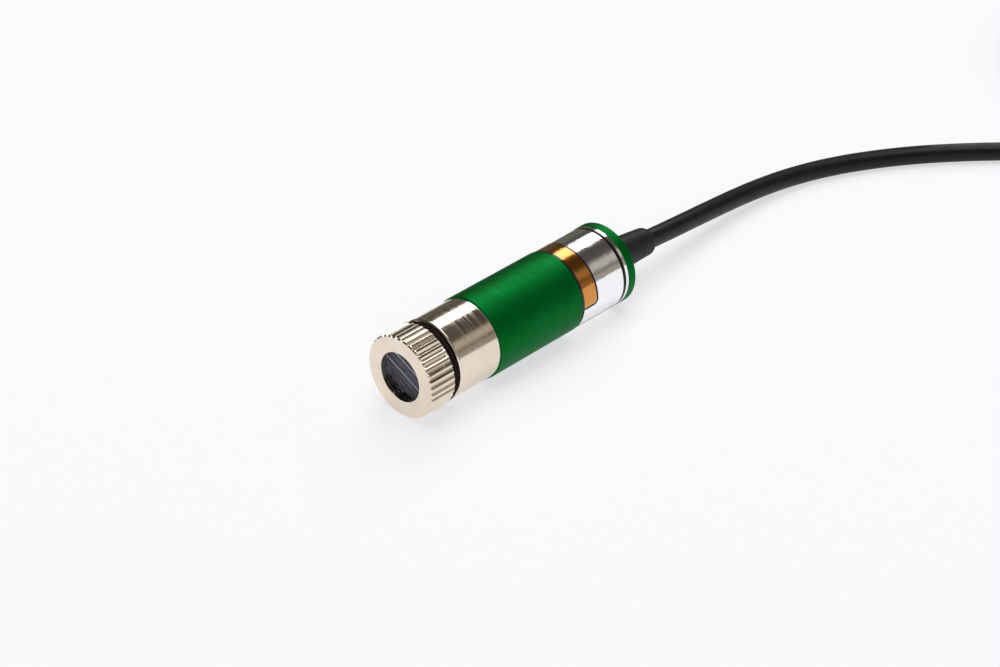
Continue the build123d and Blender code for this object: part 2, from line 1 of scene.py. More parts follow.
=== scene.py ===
"""Laser diode module: knurled focus ring, nickel barrel, green tube with a foil band, and supply lead.

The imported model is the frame. Each class below builds the visible pieces of one sub-assembly round that
frame and gives every surface its finish. Sizes are millimetres, and the meshes are made in metres. A
station is a distance along the module's axis, measured back from its front face. An angle round the axis
goes from +X towards +Z.
"""

import logging
import math
from collections.abc import Callable, Iterable, Sequence
from dataclasses import dataclass, field
from enum import Enum
from typing import Any, NamedTuple, Protocol

import bmesh
import bpy
from mathutils import Matrix, Quaternion, Vector, noise


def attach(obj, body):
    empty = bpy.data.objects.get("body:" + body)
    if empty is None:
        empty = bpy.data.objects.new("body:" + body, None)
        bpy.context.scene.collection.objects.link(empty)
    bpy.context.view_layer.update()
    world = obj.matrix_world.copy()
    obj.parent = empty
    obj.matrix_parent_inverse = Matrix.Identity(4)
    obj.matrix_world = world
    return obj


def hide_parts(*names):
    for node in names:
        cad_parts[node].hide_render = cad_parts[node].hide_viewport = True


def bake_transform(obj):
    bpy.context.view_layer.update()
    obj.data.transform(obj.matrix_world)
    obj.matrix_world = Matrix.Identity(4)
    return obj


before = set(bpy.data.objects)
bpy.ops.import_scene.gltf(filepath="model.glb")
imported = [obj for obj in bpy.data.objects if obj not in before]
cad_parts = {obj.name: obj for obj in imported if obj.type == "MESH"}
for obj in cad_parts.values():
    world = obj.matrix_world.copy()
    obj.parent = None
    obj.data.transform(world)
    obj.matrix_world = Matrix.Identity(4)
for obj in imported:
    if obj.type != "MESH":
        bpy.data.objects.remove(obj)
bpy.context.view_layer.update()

log = logging.getLogger("laser_module")

MM = 0.001
AXIS_HEIGHT = 8.0
FRONT_Y = -26.6
REAR_STATION = 53.2
PRESS_GAP = 0.02
NOISE_SPAN = (0.3, 0.7)
EASE_STEPS = 3
FLAT_START = 1.6

Pair = tuple[float, float]
Triple = tuple[float, float, float]
Colour = tuple[float, float, float]
Node = bpy.types.Node
Socket = bpy.types.NodeSocket
Material = bpy.types.Material
Object = bpy.types.Object
Faces = list[tuple[int, ...]]


class Body(Enum):
    """The bodies of the frame that pieces ride on."""

    HOUSING = "housing"
    SPRING_SEAT = "spring_seat"
    FOCUS_HEAD = "focus_head"


class Slot(Enum):
    """The record's material slots, one named for each new piece."""

    GREEN = "green_anodised"
    FOIL = "silver_foil"
    NICKEL = "nickel"
    RUBBER = "seal_rubber"
    CLEAR = "lens_clear"
    SPRING = "spring_steel"
    BOOT = "boot_black"
    JACKET = "jacket_black"
    TIE = "tie_nylon"


class Corner(NamedTuple):
    """Corner of a half section, with the size of its rounding, which is 0 where it is sharp."""

    radius: float
    station: float
    ease: float = 0.0


# Node graphs


class Graph:
    """A node tree and short calls that add nodes to it."""

    def __init__(self, tree: bpy.types.NodeTree) -> None:
        """Empties the tree of a material or of the world."""
        self.tree = tree
        self.tree.nodes.clear()

    def node(self, kind: str, inputs: dict[str | int, object] | None = None, **settings: object) -> Node:
        """Adds a node.

        Args:
            kind: Blender's name of the node type.
            inputs: A socket or a constant for each input, by name or number.
            settings: The node's own properties.

        Returns:
            The new node.
        """
        added = self.tree.nodes.new(kind)
        for key, value in settings.items():
            setattr(added, key, value)
        for key, value in (inputs or {}).items():
            if isinstance(value, Socket):
                self.tree.links.new(value, added.inputs[key])
            else:
                added.inputs[key].default_value = value
        return added

    def calc(self, operation: str, *values: Socket | float) -> Socket:
        """Adds a Math node that does this operation on these values, and returns its result."""
        return self.node("ShaderNodeMath", dict(enumerate(values)), operation=operation).outputs[0]

    def vector(self, *parts: Socket | float) -> Socket:
        """Joins three numbers into a vector."""
        return self.node("ShaderNodeCombineXYZ", dict(enumerate(parts))).outputs[0]

    def length(self, vector: Socket) -> Socket:
        """Length of a vector."""
        return self.node("ShaderNodeVectorMath", {0: vector}, operation="LENGTH").outputs["Value"]

    def ease(self, value: Socket, start: float, end: float, low: float = 0.0, high: float = 1.0) -> Socket:
        """Maps a value smoothly, to low at start and high at end, and holds it outside that range."""
        inputs = {"Value": value, "From Min": start, "From Max": end, "To Min": low, "To Max": high}
        return self.node("ShaderNodeMapRange", inputs, interpolation_type="SMOOTHSTEP").outputs["Result"]

    def blend(self, share: Socket | float, first: Socket | Colour, second: Socket | Colour) -> Socket:
        """Mixes two colours, with this share of the second one."""
        pair = [colour if isinstance(colour, Socket) else (*colour, 1.0) for colour in (first, second)]
        return self.node("ShaderNodeMix", {0: share, 6: pair[0], 7: pair[1]}, data_type="RGBA").outputs[2]

    def ramp(self, value: Socket, stops: Sequence[tuple[float, Colour]]) -> Socket:
        """Runs smoothly through a row of colours.

        Args:
            value: The value to colour.
            stops: Value and colour of each stop.

        Returns:
            The colour.
        """
        ramp = self.node("ShaderNodeValToRGB", {"Fac": value})
        ramp.color_ramp.interpolation = "EASE"
        while len(ramp.color_ramp.elements) < len(stops):
            ramp.color_ramp.elements.new(0.5)
        for element, (position, colour) in zip(ramp.color_ramp.elements, stops):
            element.position = position
            element.color = (*colour, 1.0)
        return ramp.outputs["Color"]


class FinishGraph(Graph):
    """Node graph of one finish, worked out in the module's own millimetres."""

    def __init__(self, name: str) -> None:
        """Starts an empty material.

        Args:
            name: The material's name.
        """
        self.material = bpy.data.materials.new(name)
        self.material.use_nodes = True
        super().__init__(self.material.node_tree)
        self.output = self.node("ShaderNodeOutputMaterial")
        self.metres = self.node("ShaderNodeTexCoord").outputs["Object"]
        mapping = {
            "Vector": self.metres,
            "Location": (0.0, -FRONT_Y, -AXIS_HEIGHT),
            "Scale": (1 / MM, 1 / MM, 1 / MM),
        }
        self.place = self.node("ShaderNodeMapping", mapping).outputs["Vector"]
        self.x, self.station, self.z = self.node("ShaderNodeSeparateXYZ", {0: self.place}).outputs

    def noise(
        self, scale: float, detail: float = 2.0, rough: float = 0.5, at: Socket | None = None
    ) -> Socket:
        """Adds a noise texture.

        Args:
            scale: Cells per millimetre.
            detail: Number of finer layers.
            rough: Weight of the finer layers.
            at: Where it is read, or None for the place on the module.

        Returns:
            Its value, about 0.5 on average.
        """
        where = self.place if at is None else at
        inputs = {"Vector": where, "Scale": scale, "Detail": detail, "Roughness": rough}
        return self.node("ShaderNodeTexNoise", inputs).outputs["Fac"]

    def uneven(self, noise_value: Socket, middle: float, spread: float) -> Socket:
        """Value that wanders with a noise, at most spread away from the middle."""
        return self.ease(noise_value, *NOISE_SPAN, middle - spread, middle + spread)

    def lathe_marks(self, pitch: float, run: float) -> Socket:
        """Fine marks that a lathe leaves round the axis, on faces and on cylinders alike.

        Args:
            pitch: Distance from one mark to the next.
            run: Length of a mark before it fades into another.

        Returns:
            Height of the marks from 0 to 1.
        """
        radius = self.length(self.vector(self.x, 0.0, self.z))
        across = self.calc("DIVIDE", self.calc("ADD", self.station, radius), pitch)
        sideways = self.calc("DIVIDE", self.x, run)
        upwards = self.calc("DIVIDE", self.z, run)
        return self.noise(1.0, detail=3.0, rough=0.6, at=self.vector(sideways, across, upwards))

    def relief(self, height: Socket, depth: float, under: Socket | None = None) -> Socket:
        """Turns a height into a bump.

        Args:
            height: Height from 0 to 1.
            depth: What 1 stands for, in millimetres.
            under: Normal of a coarser bump below it.

        Returns:
            The bumped normal.
        """
        inputs = {"Strength": 1.0, "Distance": depth * MM, "Height": height}
        if under is not None:
            inputs["Normal"] = under
        return self.node("ShaderNodeBump", inputs).outputs["Normal"]

    def surface(self, shader: Node) -> Material:
        """Gives the surface a shader, and returns the finished material."""
        self.tree.links.new(shader.outputs[0], self.output.inputs["Surface"])
        return self.material

    def shade(self, inputs: dict[str, object]) -> Material:
        """Gives the surface a principled shader with these inputs, and returns the finished material."""
        return self.surface(self.node("ShaderNodeBsdfPrincipled", inputs))


# Finishes


class Finish(Protocol):
    """Anything that can make a material."""

    def make(self) -> Material:
        """Makes the material."""


@dataclass(frozen=True)
class TurnedMetal:
    """Metal as it comes off the lathe, bare or plated, with fine and broad marks round the axis."""

    name: str
    colour: Colour
    toned: Colour
    roughness: float = 0.16
    spread: float = 0.09
    mark_pitch: float = 0.26
    mark_run: float = 9.0
    mark_depth: float = 0.0002
    broad_pitch: float = 6.0
    broad_run: float = 2.0
    broad_depth: float = 7.0
    cloud_scale: float = 0.22
    cloud_edges: Pair = (0.35, 0.7)

    def make(self) -> Material:
        """Makes the material, with the broad marks as multiples of the fine ones.

        Returns:
            The material.
        """
        graph = FinishGraph(self.name)
        marks = graph.lathe_marks(self.mark_pitch, self.mark_run)
        broad = graph.lathe_marks(self.mark_pitch * self.broad_pitch, self.mark_run * self.broad_run)
        under = graph.relief(broad, self.mark_depth * self.broad_depth)
        clouds = graph.ease(graph.noise(self.cloud_scale, detail=3.0), *self.cloud_edges)
        return graph.shade(
            {
                "Base Color": graph.blend(clouds, self.colour, self.toned),
                "Metallic": 1.0,
                "Roughness": graph.uneven(marks, self.roughness, self.spread),
                "Normal": graph.relief(marks, self.mark_depth, under),
            }
        )


@dataclass(frozen=True)
class Anodised:
    """Dyed anodised aluminium: a fine satin etch with the dye slightly uneven."""

    name: str
    colour: Colour
    deep: Colour
    edge: Colour = (0.85, 0.93, 0.95)
    roughness: float = 0.53
    spread: float = 0.04
    mark_pitch: float = 0.5
    mark_run: float = 20.0
    etch_scale: float = 14.0
    etch_depth: float = 0.0008
    cloud_scale: float = 0.3
    cloud_edges: Pair = (0.35, 0.68)

    def make(self) -> Material:
        """Makes the material.

        Returns:
            The material.
        """
        graph = FinishGraph(self.name)
        marks = graph.lathe_marks(self.mark_pitch, self.mark_run)
        etch = graph.noise(self.etch_scale, detail=3.0)
        clouds = graph.ease(graph.noise(self.cloud_scale, detail=3.0), *self.cloud_edges)
        return graph.shade(
            {
                "Base Color": graph.blend(clouds, self.colour, self.deep),
                "Metallic": 1.0,
                "Specular Tint": (*self.edge, 1.0),
                "Roughness": graph.uneven(marks, self.roughness, self.spread),
                "Normal": graph.relief(etch, self.etch_depth, graph.relief(marks, self.etch_depth)),
            }
        )


@dataclass(frozen=True)
class Moulded:
    """Moulded or extruded plastic or rubber with a fine grain."""

    name: str
    colour: Colour
    worn: Colour
    roughness: float = 0.5
    spread: float = 0.08
    specular: float = 0.5
    grain_scale: float = 6.0
    grain_depth: float = 0.004
    cloud_scale: float = 0.35
    cloud_edges: Pair = (0.4, 0.75)

    def make(self) -> Material:
        """Makes the material.

        Returns:
            The material.
        """
        graph = FinishGraph(self.name)
        grain = graph.noise(self.grain_scale, detail=4.0)
        clouds = graph.noise(self.cloud_scale, detail=3.0)
        return graph.shade(
            {
                "Base Color": graph.blend(graph.ease(clouds, *self.cloud_edges), self.colour, self.worn),
                "Roughness": graph.uneven(clouds, self.roughness, self.spread),
                "Specular IOR Level": self.specular,
                "Normal": graph.relief(grain, self.grain_depth),
            }
        )


@dataclass(frozen=True)
class Dust:
    """A breath of dust on an optic."""

    colour: Colour = (0.75, 0.78, 0.8)
    most: float = 0.12
    scale: float = 1.6
    edges: Pair = (0.45, 0.8)

    def settle(self, graph: FinishGraph, tint: Colour) -> tuple[Socket, Socket]:
        """Puts the dust on the tint of an optic, and returns the dust's noise and the dusty colour."""
        specks = graph.noise(self.scale, detail=5.0, rough=0.65)
        return specks, graph.blend(graph.ease(specks, *self.edges, 0.0, self.most), tint, self.colour)


@dataclass(frozen=True)
class ClearOptic:
    """Clear ground optic with a faint tint."""

    name: str
    tint: Colour
    index: float
    roughness: float
    dust: Dust = Dust()
    dusty_roughness: float = 0.09
    dusty_edges: Pair = (0.5, 0.75)

    def make(self) -> Material:
        """Makes the material.

        Returns:
            The material.
        """
        graph = FinishGraph(self.name)
        specks, colour = self.dust.settle(graph, self.tint)
        dusty = self.roughness + self.dusty_roughness
        return graph.shade(
            {
                "Base Color": colour,
                "Roughness": graph.ease(specks, *self.dusty_edges, self.roughness, dusty),
                "IOR": self.index,
                "Transmission Weight": 1.0,
            }
        )


@dataclass(frozen=True)
class FlutedOptic:
    """Moulded optic, dark from the bore behind it, with painted highlight lines along some flutes' edges.
    """

    name: str
    tint: Colour
    # edge and the fields up to edge_roughness draw painted highlight lines: their colour, places across the
    # flutes, width, solid core and roughness.
    edge: Colour
    flute_tilt: float
    painted_highlight_lines: tuple[float, ...]
    edge_width: float = 0.1
    edge_core: float = 0.4
    edge_roughness: float = 0.5
    sheen: Colour = (0.58, 0.6, 0.8)
    index: float = 1.49
    roughness: float = 0.04
    dust: Dust = Dust(most=0.06)

    def make(self) -> Material:
        """Makes the material, each painted highlight line at its distance from the middle across the
        flutes.

        Returns:
            The material.
        """
        graph = FinishGraph(self.name)
        tilt = math.radians(self.flute_tilt)
        upwards = graph.calc("MULTIPLY", graph.z, math.cos(tilt))
        across = graph.calc("MULTIPLY_ADD", graph.x, math.sin(tilt), upwards)
        # Painted highlight: pale, rough, opaque lines along two flute edges stand in for glints of light on
        # them.
        painted_highlight: Socket | float = 0.0
        for spot in self.painted_highlight_lines:
            away = graph.calc("ABSOLUTE", graph.calc("SUBTRACT", across, spot))
            line = graph.ease(away, self.edge_width * self.edge_core, self.edge_width, 1.0, 0.0)
            painted_highlight = graph.calc("MAXIMUM", painted_highlight, line)
        _, colour = self.dust.settle(graph, self.tint)
        return graph.shade(
            {
                "Base Color": graph.blend(painted_highlight, colour, self.edge),
                "Roughness": graph.ease(painted_highlight, 0.0, 1.0, self.roughness, self.edge_roughness),
                "IOR": self.index,
                "Specular Tint": (*self.sheen, 1.0),
                "Transmission Weight": graph.ease(painted_highlight, 0.0, 1.0, 1.0, 0.0),
            }
        )


@dataclass(frozen=True)
class PrintedField:
    """Field with rounded corners, centred on the top of the band, and the line round it."""

    front: float
    rear: float
    half_angle: float
    corner: float
    half_line: float
    blur: float = 0.05

    def distance(self, graph: FinishGraph, around: Socket, radius: float) -> Socket:
        """Distance from the field's outline.

        Args:
            graph: The graph to add to.
            around: Distance round the band from its top, always positive.
            radius: The band's radius.

        Returns:
            The distance in millimetres, negative inside the field.
        """
        reach = math.radians(self.half_angle) * radius
        from_middle = graph.calc("SUBTRACT", graph.station, (self.front + self.rear) / 2)
        along = graph.calc("ABSOLUTE", from_middle)
        over_length = graph.calc("SUBTRACT", along, (self.rear - self.front) / 2 - self.corner)
        over_reach = graph.calc("SUBTRACT", around, reach - self.corner)
        past = [graph.calc("MAXIMUM", over, 0.0) for over in (over_length, over_reach)]
        outside = graph.length(graph.vector(*past, 0.0))
        inside = graph.calc("MINIMUM", graph.calc("MAXIMUM", over_length, over_reach), 0.0)
        return graph.calc("SUBTRACT", graph.calc("ADD", outside, inside), self.corner)

    def fill(self, graph: FinishGraph, distance: Socket) -> Socket:
        """Mask of the field, from the distance to its outline."""
        return graph.ease(distance, -self.blur, 0.0, 1.0, 0.0)

    def outline(self, graph: FinishGraph, distance: Socket) -> Socket:
        """Mask of the line round the field, from the distance to its outline."""
        away = graph.calc("ABSOLUTE", distance)
        return graph.ease(away, self.half_line, self.half_line + self.blur, 1.0, 0.0)


@dataclass(frozen=True)
class FoilBand:
    """Printed metal foil: an orange field in a black frame on bright, slightly buckled foil."""

    name: str = "foil_band"
    radius: float = 7.94
    foil: Colour = (0.92, 0.92, 0.93)
    orange: Colour = (0.62, 0.24, 0.026)
    ink: Colour = (0.006, 0.006, 0.006)
    frame_print: PrintedField = PrintedField(38.62, 49.95, half_angle=128.0, corner=0.3, half_line=0.36)
    field_print: PrintedField = PrintedField(36.82, 42.45, half_angle=94.0, corner=0.9, half_line=0.2)
    edge_blur: float = 0.05
    buckle_scale: float = 0.45
    buckle_depth: float = 0.03
    crease_scale: float = 1.4
    crease_depth: float = 0.012
    speckle_scale: float = 8.0
    speckle_depth: float = 0.0012
    roughness: float = 0.12
    field_roughness: float = 0.04
    ink_roughness: float = 0.2
    specular: float = 0.12
    coat: float = 0.05
    field_coat: float = 0.8
    coat_roughness: float = 0.08

    def uneven_normal(self, graph: FinishGraph) -> Socket:
        """Bumps of the buckled and creased foil with its fine speckle.

        Args:
            graph: The graph to add to.

        Returns:
            The bumped normal.
        """
        normal: Socket | None = None
        for scale, depth in (
            (self.buckle_scale, self.buckle_depth),
            (self.crease_scale, self.crease_depth),
            (self.speckle_scale, self.speckle_depth),
        ):
            normal = graph.relief(graph.noise(scale), depth, normal)
        return normal

    def make(self) -> Material:
        """Makes the material.

        Returns:
            The material.
        """
        graph = FinishGraph(self.name)
        from_top = graph.calc("ABSOLUTE", graph.calc("ARCTAN2", graph.x, graph.z))
        around = graph.calc("MULTIPLY", from_top, self.radius)
        frame_edge = self.frame_print.distance(graph, around, self.radius)
        field_edge = self.field_print.distance(graph, around, self.radius)
        front = self.frame_print.front
        behind_front = graph.ease(graph.station, front, front + self.edge_blur)
        orange = graph.calc("MULTIPLY", self.field_print.fill(graph, field_edge), behind_front)
        field_line = graph.calc("MULTIPLY", self.field_print.outline(graph, field_edge), behind_front)
        lines = graph.calc("MAXIMUM", field_line, self.frame_print.outline(graph, frame_edge))
        printed = graph.blend(orange, self.foil, self.orange)
        unlined = graph.calc("MULTIPLY_ADD", orange, self.field_roughness, self.roughness)
        return graph.shade(
            {
                "Base Color": graph.blend(lines, printed, self.ink),
                "Metallic": graph.ease(lines, 0.0, 1.0, 1.0, 0.0),
                "Roughness": graph.calc("MULTIPLY_ADD", lines, self.ink_roughness, unlined),
                "Specular IOR Level": self.specular,
                "Coat Weight": graph.calc("MULTIPLY_ADD", orange, self.field_coat, self.coat),
                "Coat Roughness": self.coat_roughness,
                "Normal": self.uneven_normal(graph),
            }
        )


@dataclass(frozen=True)
class BoardMask:
    """Green solder mask with the copper tracks showing faintly through it."""

    name: str = "board_mask"
    mask: Colour = (0.012, 0.13, 0.045)
    over_copper: Colour = (0.03, 0.24, 0.075)
    track_pitch: float = 1.27
    track_run: float = 5.08
    track_gap: float = 0.09
    track_blur: float = 0.1
    track_height: float = 0.02
    grain_scale: float = 5.0
    roughness: float = 0.35
    spread: float = 0.07

    def make(self) -> Material:
        """Makes the material.

        Returns:
            The material.
        """
        graph = FinishGraph(self.name)
        pattern = {
            "Vector": graph.place,
            "Scale": 1.0,
            "Mortar Size": self.track_gap,
            "Mortar Smooth": self.track_blur,
            "Brick Width": self.track_run,
            "Row Height": self.track_pitch,
        }
        tracks = graph.node("ShaderNodeTexBrick", pattern).outputs["Fac"]
        grain = graph.noise(self.grain_scale, detail=3.0)
        return graph.shade(
            {
                "Base Color": graph.blend(tracks, self.mask, self.over_copper),
                "Roughness": graph.uneven(grain, self.roughness, self.spread),
                "Normal": graph.relief(tracks, self.track_height),
            }
        )


def made(finish: Finish) -> Any:
    """Field of a dataclass that holds the finish's material, made when the dataclass is."""
    return field(default_factory=finish.make)


@dataclass(frozen=True)
class Finishes:
    """Every finish of the module, made once and shared by the sub-assemblies."""

    green: Material = made(Anodised("green_satin", (0.0, 0.155, 0.023), (0.0, 0.135, 0.017)))
    foil: Material = made(FoilBand())
    nickel: Material = made(TurnedMetal("satin_nickel", (0.82, 0.73, 0.61), (0.77, 0.68, 0.56)))
    seal: Material = made(
        Moulded("seal_rubber", (0.012, 0.006, 0.0045), (0.016, 0.008, 0.006), 0.75, specular=0.1)
    )
    # The line lens carries painted highlight lines along two of its flute edges.
    line_lens: Material = made(
        FlutedOptic("moulded_acrylic", (0.27, 0.3, 0.4), (0.88, 0.9, 0.95), 26.2, painted_highlight_lines=(2.38, 0.0))
    )
    ground_lens: Material = made(ClearOptic("coated_glass", (0.5, 0.55, 0.7), index=1.58, roughness=0.01))
    black_metal: Material = made(
        Moulded("black_anodised", (0.006, 0.006, 0.006), (0.01, 0.01, 0.01), 0.7, specular=0.3)
    )
    spring: Material = made(
        TurnedMetal("spring_wire", (0.6, 0.59, 0.57), (0.52, 0.51, 0.5), mark_pitch=0.08)
    )
    holder: Material = made(
        TurnedMetal("turned_aluminium", (0.82, 0.82, 0.83), (0.76, 0.76, 0.78), roughness=0.34)
    )
    gold: Material = made(TurnedMetal("gold_plate", (0.95, 0.68, 0.28), (0.88, 0.6, 0.22), roughness=0.22))
    cap: Material = made(TurnedMetal("drawn_cap", (0.66, 0.65, 0.64), (0.58, 0.57, 0.56), roughness=0.2))
    board: Material = made(BoardMask())
    chip: Material = made(Moulded("chip_epoxy", (0.016, 0.016, 0.018), (0.03, 0.03, 0.032), roughness=0.6))
    can: Material = made(TurnedMetal("bright_can", (0.85, 0.85, 0.86), (0.8, 0.8, 0.81), roughness=0.18))
    trimmer: Material = made(Moulded("trimmer_blue", (0.03, 0.13, 0.42), (0.04, 0.16, 0.46), roughness=0.4))
    plug: Material = made(Moulded("plug_black", (0.018, 0.018, 0.019), (0.03, 0.03, 0.031)))
    red: Material = made(Moulded("core_red", (0.5, 0.018, 0.014), (0.58, 0.03, 0.02), roughness=0.38))
    black: Material = made(
        Moulded("core_black", (0.014, 0.014, 0.015), (0.025, 0.025, 0.026), roughness=0.38)
    )
    boot: Material = made(
        Moulded("boot_rubber", (0.005, 0.0053, 0.006), (0.008, 0.0085, 0.0095), 0.55, specular=0.28)
    )
    jacket: Material = made(
        Moulded("lead_jacket", (0.0022, 0.0024, 0.003), (0.0035, 0.0038, 0.0045), 0.42, 0.05, specular=0.27)
    )
    nylon: Material = made(
        Moulded("tie_nylon", (0.014, 0.014, 0.015), (0.022, 0.022, 0.023), roughness=0.32)
    )
    tinned: Material = made(
        TurnedMetal("tinned_strands", (0.72, 0.72, 0.71), (0.6, 0.58, 0.55), roughness=0.3)
    )


# Meshes


def axis_point(station: float) -> Vector:
    """Point on the module's axis at a station, in millimetres."""
    return Vector((0, FRONT_Y + station, AXIS_HEIGHT))


def on_axis(radius: float, angle: float, station: float) -> Vector:
    """Point in metres at this radius from the module's axis, this angle in degrees and this station."""
    turn = math.radians(angle)
    return Vector((radius * math.cos(turn), FRONT_Y + station, AXIS_HEIGHT + radius * math.sin(turn))) * MM


def even_angles(count: int) -> list[float]:
    """Angles in degrees, evenly spaced once round."""
    return [360 * index / count for index in range(count)]


def add_object(name: str, data: bpy.types.ID) -> Object:
    """Links a new object into the scene.

    Args:
        name: Its name.
        data: Its mesh, curve, light or camera.

    Returns:
        The object.
    """
    added = bpy.data.objects.new(name, data)
    bpy.context.scene.collection.objects.link(added)
    return added


def new_mesh(
    name: str, points: Iterable[Sequence[float]], faces: Faces, finish: Material
) -> bpy.types.Mesh:
    """Makes a mesh in metres with one material.

    Args:
        name: The mesh's name.
        points: Its vertices in metres.
        faces: Its faces as rows of vertex numbers.
        finish: Its material.

    Returns:
        The mesh.
    """
    mesh = bpy.data.meshes.new(name)
    mesh.from_pydata([tuple(point) for point in points], [], faces)
    mesh.materials.append(finish)
    return mesh


def make_piece(
    name: str, points: Sequence[Vector], faces: Faces, finish: Material, crease: float = 50.0
) -> Object:
    """Makes a smooth-shaded object from points and faces.

    Args:
        name: The piece's name.
        points: Its vertices in metres.
        faces: Its faces as rows of vertex numbers.
        finish: Its material.
        crease: Angle in degrees above which an edge stays sharp.

    Returns:
        The new object, linked to the scene.
    """
    mesh = new_mesh(name, points, faces, finish)
    shell = bmesh.new()
    shell.from_mesh(mesh)
    bmesh.ops.recalc_face_normals(shell, faces=shell.faces)
    shell.to_mesh(mesh)
    shell.free()
    mesh.shade_smooth()
    mesh.set_sharp_from_angle(angle=math.radians(crease))
    return add_object(name, mesh)


def place(piece: Object, body: Body, slot: Slot, *stands_for: str) -> Object:
    """Puts a finished piece on its body and lets it stand for its nodes.

    Args:
        piece: The piece, already where it belongs.
        body: The body that it moves with.
        slot: Not used.
        stands_for: The nodes that it replaces.

    Returns:
        The piece.
    """
    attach(piece, body.value)
    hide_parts(*stands_for)
    log.info("%s: rides on %s, stands for %s", piece.name, body.value, ", ".join(stands_for))
    return piece


def dress(finish: Material, *nodes: str) -> None:
    """Gives nodes of the frame a finish.

    Args:
        finish: The material.
        nodes: The nodes' names.
    """
    for name in nodes:
        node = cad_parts[name]
        if not node.material_slots:
            node.data.materials.append(finish)
        for socket in node.material_slots:
            socket.material = finish
        log.info("%s: finished in %s", name, finish.name)


def grid_faces(columns: int, rows: int, around: bool = True, closed: bool = True) -> Faces:
    """Quads between neighbouring columns of points.

    Args:
        columns: Number of columns, each a run of rows points.
        rows: Points in a column.
        around: Whether the last column joins the first.
        closed: Whether the last row joins the first.

    Returns:
        The faces.
    """
    faces: Faces = []
    for column in range(columns if around else columns - 1):
        here, there = column * rows, (column + 1) % columns * rows
        for row in range(rows if closed else rows - 1):
            above = (row + 1) % rows
            faces.append((here + row, here + above, there + above, there + row))
    return faces


def sheet_faces(columns: int, rows: int) -> Faces:
    """Faces of a thin sheet with two sides and a rim.

    Args:
        columns: Columns of points on one side.
        rows: Points in a column.

    Returns:
        The faces, for all the points of one side followed by all the points of the other.
    """
    count, last = columns * rows, (columns - 1) * rows
    side = grid_faces(columns, rows, around=False, closed=False)
    faces = side + [tuple(count + corner for corner in reversed(face)) for face in side]
    rim = [column * rows for column in range(columns)] + [last + row for row in range(1, rows)]
    rim += [column * rows + rows - 1 for column in range(columns - 2, -1, -1)]
    rim += list(range(rows - 2, 0, -1))
    for here, there in zip(rim, rim[1:] + rim[:1]):
        faces.append((here, there, count + there, count + here))
    return faces


def eased_outline(corners: Sequence[Corner]) -> list[Pair]:
    """Rounds the corners of a closed outline.

    Args:
        corners: The corners in order.

    Returns:
        The outline's points as radius and station, with a point on each side that keeps the flats flat.
    """
    outline: list[Pair] = []
    for index, corner in enumerate(corners):
        here = Vector(corner[:2])
        if corner.ease == 0:
            outline.append(corner[:2])
            continue
        before = (Vector(corners[index - 1][:2]) - here).normalized()
        after = (Vector(corners[(index + 1) % len(corners)][:2]) - here).normalized()
        start, end = here + before * corner.ease, here + after * corner.ease
        outline.append(tuple(here + before * corner.ease * FLAT_START))
        for step in range(EASE_STEPS + 1):
            t = step / EASE_STEPS
            outline.append(tuple(start * (1 - t) ** 2 + here * 2 * t * (1 - t) + end * t * t))
        outline.append(tuple(here + after * corner.ease * FLAT_START))
    return outline


def turned(
    name: str,
    corners: Sequence[Corner],
    finish: Material,
    angles: Sequence[float],
    ceiling: Callable[[float, float], float] | None = None,
) -> Object:
    """Turns a closed outline round the module's axis.

    Args:
        name: The piece's name.
        corners: Its half section.
        finish: Its material.
        angles: Degrees of the columns, once round.
        ceiling: Largest radius at an angle and station, or None.

    Returns:
        The new object.
    """
    outline = eased_outline(corners)
    points = []
    for angle in angles:
        for radius, station in outline:
            limit = ceiling(angle, station) if ceiling else radius
            points.append(on_axis(min(radius, limit), angle, station))
    return make_piece(name, points, grid_faces(len(angles), len(outline)), finish)


def circle_points(
    centre: Vector, across: Vector, upwards: Vector, radius: float, sides: int
) -> list[Vector]:
    """Circle of points in the plane of two directions.

    Args:
        centre: Its centre in millimetres.
        across: Direction of its first point.
        upwards: Direction a quarter of a turn on.
        radius: Its radius in millimetres.
        sides: Number of points.

    Returns:
        The points in metres.
    """
    points = []
    for side in range(sides):
        turn = 2 * math.pi * side / sides
        points.append((centre + (across * math.cos(turn) + upwards * math.sin(turn)) * radius) * MM)
    return points


def swept_rod(path: Sequence[Vector], radius: float, sides: int) -> tuple[list[Vector], Faces]:
    """Round rod along a path, with closed ends.

    Args:
        path: Points of its centreline in millimetres.
        radius: Its radius in millimetres.
        sides: Points round it.

    Returns:
        Its points in metres, and its faces.
    """
    forward = (path[1] - path[0]).normalized()
    across = forward.orthogonal().normalized()
    points: list[Vector] = []
    for index, centre in enumerate(path):
        before, after = path[max(index - 1, 0)], path[min(index + 1, len(path) - 1)]
        heading = (after - before).normalized()
        turn: Quaternion = forward.rotation_difference(heading)
        across = turn @ across
        forward = heading
        points += circle_points(centre, across, forward.cross(across), radius, sides)
    faces = grid_faces(len(path), sides, around=False)
    faces.append(tuple(range(sides)))
    faces.append(tuple(range(len(points) - sides, len(points))))
    return points, faces


def bevelled_block(size: Vector, edge: float, matrix: Matrix, start: int) -> tuple[list[Vector], Faces]:
    """Block with bevelled edges.

    Args:
        size: Its three sides in millimetres.
        edge: Width of the bevel in millimetres.
        matrix: Where it stands, in millimetres.
        start: Number of the first of its points.

    Returns:
        Its points in metres, and its faces.
    """
    block = bmesh.new()
    bmesh.ops.create_cube(block, size=1.0, matrix=Matrix.Diagonal((*size, 1.0)))
    bmesh.ops.bevel(block, geom=block.edges[:], offset=edge, segments=3, profile=0.5, affect="EDGES")
    block.verts.index_update()
    points = [(matrix @ vertex.co) * MM for vertex in block.verts]
    faces = [tuple(start + vertex.index for vertex in face.verts) for face in block.faces]
    block.free()
    return points, faces


# Sub-assemblies


